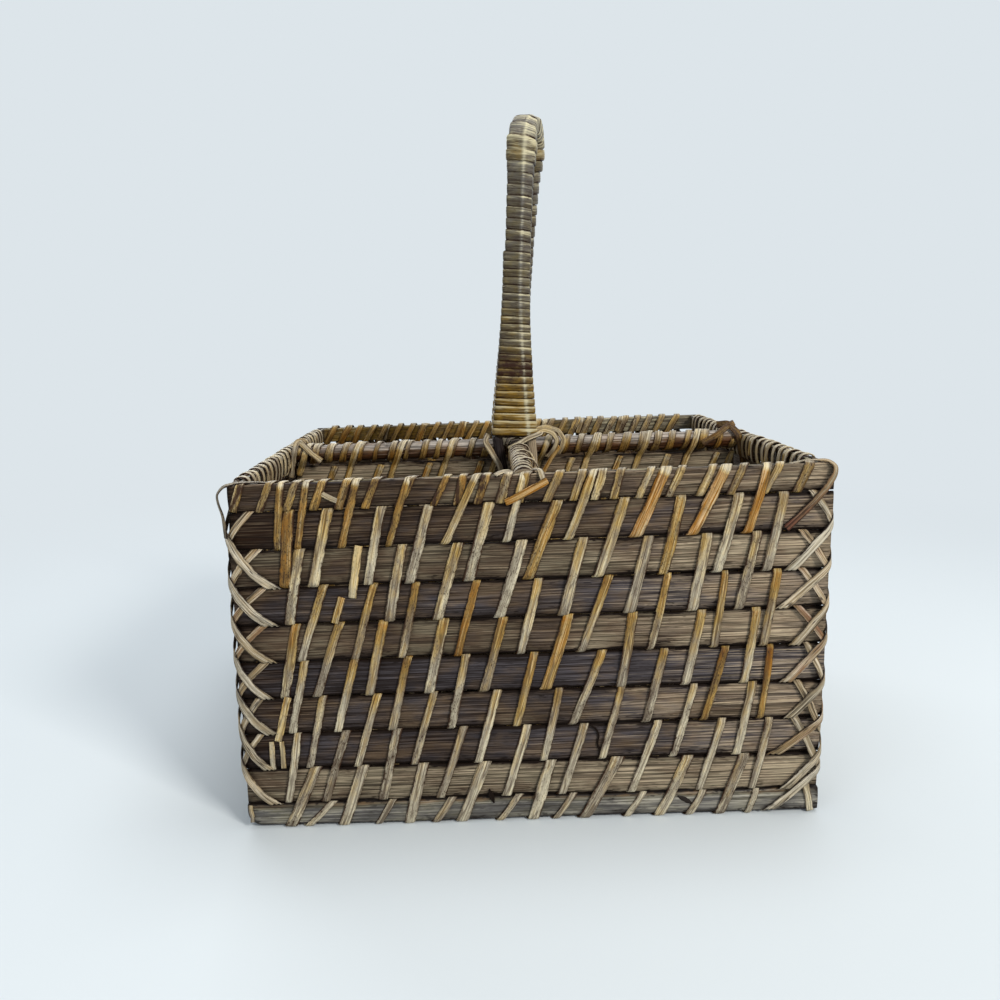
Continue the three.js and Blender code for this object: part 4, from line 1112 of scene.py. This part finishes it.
# The core is the section carried round the loop, a little inside the wrap, with four prongs below
def handleCore(dice):
    along = np.linspace(0, loopLength, 150)
    shares = np.linspace(0, 1, 25)[:-1]
    point, _ = sectionAt(shares + 0.02)
    side = point[None, :, 0] * 0.93 * flare(along)[:, None]
    grid = besideLoop(along[:, None], side, np.broadcast_to(point[None, :, 1] * 0.93, side.shape))
    strands = [(grid, joined(along[:, None], point[None, :, 0]), (.30, .6, .35))]
    for signX in (-1, 1):
        for signY in (-1, 1):
            line = easedLine(handle["prong"], 2.0, 8.0)
            sideways = handle["shift"] * np.clip((line[:, 1] - 141.4) / 16, 0, 1)
            path = joined(signX * line[:, 0] + sideways, signY * handle["legMiddle"], line[:, 1])
            width = np.interp(line[:, 1], (60.4, 67.4, 157.4), (3.4, 5.0, 5.4))
            look = (.90, .75, .0) if signX > 0 else (.25, .12, .3)  # painted light: the right prongs are pale and lit, the left ones darkened with painted shade
            strands.append(ribbon(path, (0, signY, 0), width, 6.5, look, dice.uniform(0, 300), 0.3))
    return strands


handleDice = np.random.default_rng(5)
addPiece("handle_core_split", handleCore(handleDice), agedSplitBamboo, ["handle_core"])
addPiece("handle_wrap_near_cane", [wrapLeg(handleDice, 0.6, loopLength / 2, False)], handleCane,
         ["handle_wrap_near"])
addPiece("handle_wrap_far_cane", [wrapLeg(handleDice, loopLength / 2, loopLength - 0.6, True)], handleCane,
         ["handle_wrap_far"])
print("handle wrapped")

# Each tie is a cane ribbon through a few points in mm: points, the way its flat side faces, width, tint
ties = {
    "handle_foot_ties": [
        ([(-15, -12, 159.4), (-17, -15, 156.4), (-14, -17, 151.4), (-10, -17.5, 144.4), (-8, -17, 137.4)],
         (0, -1, .2), 3.0, (.62, .08, .03)),
        ([(13, -6, 160), (12, -14, 159.2), (6, -19.4, 158), (0, -20.4, 155), (-5, -19.4, 152.4)],
         (0, -1, .3), 2.8, (.74, .12, .02)),
        ([(9, -14, 159.4), (14, -9.4, 160.4), (19, -7.6, 158.4), (21.2, -7.8, 154.4), (19.6, -7.9, 150.4),
          (16, -6.9, 145.4)], (.3, -1, .2), 2.8, (.66, .25, .04)),
        ([(8, -12, 160.9), (15, -7.4, 161.7), (22, -6.3, 159.4), (24.8, -6.9, 154.7), (23.4, -7.4, 150.4),
          (21.4, -6.4, 147.0)], (.3, -1, .2), 2.8, (.62, .3, .05)),
        ([(22.5, -7.3, 151.4), (18, -7.8, 145.4), (14, -7.4, 138.4), (12.5, -6.4, 134.4)],
         (0, -1, .1), 2.4, (.6, .7, .06)),
    ],
    "cross_bar_end_ties": [
        ([(-112, 3, 158), (-115.5, -2, 158.3), (-116.5, -6.1, 153.4), (-117.5, -6.4, 147.4), (-119, -5, 139.4)],
         (0, -1, .2), 3.2, (.66, .12, .04)),
        ([(-116, 2, 158.2), (-113, -3.9, 157.6), (-108, -6.4, 152.6), (-102.5, -6.6, 147.9)],
         (0, -1, .3), 3.2, (.66, .2, .05)),
        ([(108, 3, 158.4), (113, -1, 159.2), (117, -5.9, 154.6), (119, -6.4, 146.4), (121, -5, 138.4)],
         (0, -1, .2), 3.6, (.2, .45, .4)),
        ([(117, 2, 159.2), (112, -3.8, 158.2), (106, -6.0, 154), (98, -6.2, 149.8)], (0, -1, .3), 3.4,
         (.22, .5, .38)),
    ],
    "front_rim_tail": [
        ([(-10.5, -114.2, 142.6), (-6, -115, 144.6), (0, -115.6, 147.8), (6.8, -115.8, 151.4)],
         (0, -1, 0), 3.2, (.62, .85, .04)),
        ([(-14.4, -113.4, 153.9), (-12.0, -111, 154.7), (-8.6, -108.8, 154.9), (-6.4, -107.4, 153.4)],
         (0, -.5, .8), 2.4, (.70, .03, .08)),
        ([(1.6, -107.2, 154.9), (3.4, -109.4, 155.2), (4.2, -112.4, 155.0), (4.8, -114.5, 153.2),
          (5.6, -114.8, 149.6)], (.2, -.6, .8), 2.6, (.72, .03, .05)),
        ([(-7.2, -107.8, 152.0), (-5.0, -107.8, 153.9), (-2.2, -107.8, 154.7), (.8, -107.8, 153.9),
          (2.8, -107.8, 152.2)], (0, -1, .1), 2.0, (.50, .06, .2)),
    ],
}
tieDice = np.random.default_rng(99)
for name, listed in ties.items():
    strands = []
    for points, facing, width, tint in listed:
        strands.append(ribbon(easedLine(points, 0.7, 2.4), facing, width, 0.7, tint, tieDice.uniform(0, 400)))
    addPiece(name, strands, flatCane)
print("ties laid")

# Studio: a pale floor that takes the shadow near the basket and fades into the backdrop's colour further out
studio = {"floor": "#d9e1e6", "backdrop": "#dde5ea", "skyLevel": 0.36, "floorHalf": 4.0, "fadeFrom": 0.30,
          "fadeTo": 0.85}
half = studio["floorHalf"]
floorMesh = bpy.data.meshes.new("studio_floor")
corners = [(-half, -half, 0), (half, -half, 0), (half, half, 0), (-half, half, 0)]
floorMesh.from_pydata(corners, [], [(0, 1, 2, 3)])
floor = bpy.data.objects.new("studio_floor", floorMesh)
bpy.context.scene.collection.objects.link(floor)
paper = bpy.data.materials.new("matte_studio_paper")
paper.use_nodes = True
paperTree = paper.node_tree
paperShader = paperTree.nodes["Principled BSDF"]
paperShader.inputs["Base Color"].default_value = linear(studio["floor"])
paperShader.inputs["Roughness"].default_value = 0.9

world = bpy.data.worlds.new("studio_sky")
bpy.context.scene.world = world
world.use_nodes = True
skyTree = world.node_tree

# 1 for what the camera sees, in a reflection or through glass too, and 0 for what only lights the scene
seen = {}
for place, tree in (("floor", paperTree), ("sky", skyTree)):
    ray = addNode(tree, "LightPath").node.outputs
    direct = addNode(tree, "Math", {0: ray["Is Camera Ray"], 1: ray["Is Glossy Ray"]}, operation="ADD")
    seen[place] = addNode(tree, "Math", {0: direct, 1: ray["Is Transmission Ray"]}, operation="ADD",
                          use_clamp=True)

glow = addNode(paperTree, "Emission", {"Color": linear(studio["backdrop"]), "Strength": 1.0})
farOut = addNode(paperTree, "VectorMath", {0: addNode(paperTree, "TexCoord", out=3)}, 1, operation="LENGTH")
fade = addNode(paperTree, "MapRange", {0: farOut, 1: studio["fadeFrom"], 2: studio["fadeTo"]},
               interpolation_type="SMOOTHSTEP")
fade = addNode(paperTree, "Math", {0: fade, 1: seen["floor"]}, operation="MULTIPLY")
mixed = addNode(paperTree, "MixShader", {0: fade, 1: paperShader.outputs[0], 2: glow})
paperTree.links.new(mixed, paperTree.nodes["Material Output"].inputs["Surface"])
floorMesh.materials.append(paper)

sky = skyTree.nodes["Background"]
sky.inputs["Color"].default_value = linear(studio["backdrop"])
level = addNode(skyTree, "MapRange", {0: seen["sky"], 3: studio["skyLevel"], 4: 1.0})
skyTree.links.new(level, sky.inputs["Strength"])

lamps = {  # place in m, watts, size in m, colour
    "over": ((0.2, 0.1, 1.5), 9.8, 0.8, "#ffffff"),
    "key": ((1.0, -1.3, 1.1), 24.6, 0.45, "#fffaf2"),
    "fill": ((-1.2, -1.2, 0.6), 5.2, 0.9, "#f4f8ff"),
    "back": ((-0.8, 1.5, 1.0), 11.5, 1.2, "#ffffff"),
}
for name, (place, watts, size, colour) in lamps.items():
    lamp = bpy.data.lights.new("studio_" + name, "AREA")
    lamp.energy, lamp.size = watts, size
    lamp.color = linear(colour)[:3]
    lampObject = bpy.data.objects.new("studio_" + name, lamp)
    lampObject.location = place
    aim = Vector((0.0, 0.0, 0.09)) - Vector(place)
    lampObject.rotation_mode = "QUATERNION"
    lampObject.rotation_quaternion = aim.to_track_quat("-Z", "Y")
    bpy.context.scene.collection.objects.link(lampObject)

# The photograph's camera, fitted to the basket's corners in a 1000 by 1000 frame
photoCamera = {"place": (-0.0236, -0.4761, 0.2108), "yaw": 1.74, "pitch": 10.53, "roll": -0.82,
               "focalPixels": 900, "framePixels": 1000, "sensor": 36.0}
yaw, pitch, roll = (math.radians(photoCamera[k]) for k in ("yaw", "pitch", "roll"))
forward = np.array([math.sin(yaw) * math.cos(pitch), math.cos(yaw) * math.cos(pitch), -math.sin(pitch)])
right = np.array([math.cos(yaw), -math.sin(yaw), 0.0])
upward = np.cross(right, forward)
rightRolled = math.cos(roll) * right + math.sin(roll) * upward
upRolled = -math.sin(roll) * right + math.cos(roll) * upward
cameraData = bpy.data.cameras.new("photo_camera")
cameraData.sensor_width = photoCamera["sensor"]
cameraData.lens = photoCamera["sensor"] * photoCamera["focalPixels"] / photoCamera["framePixels"]
cameraData.clip_start, cameraData.clip_end = 0.01, 20
camera = bpy.data.objects.new("photo_camera", cameraData)
axes = np.stack([rightRolled, upRolled, -forward], 1)
rows = [[*axis, place] for axis, place in zip(axes, photoCamera["place"])]
camera.matrix_world = Matrix(rows + [[0, 0, 0, 1]])
bpy.context.scene.collection.objects.link(camera)
bpy.context.scene.camera = camera
bpy.context.scene.view_settings.view_transform = "Standard"
print("studio set")
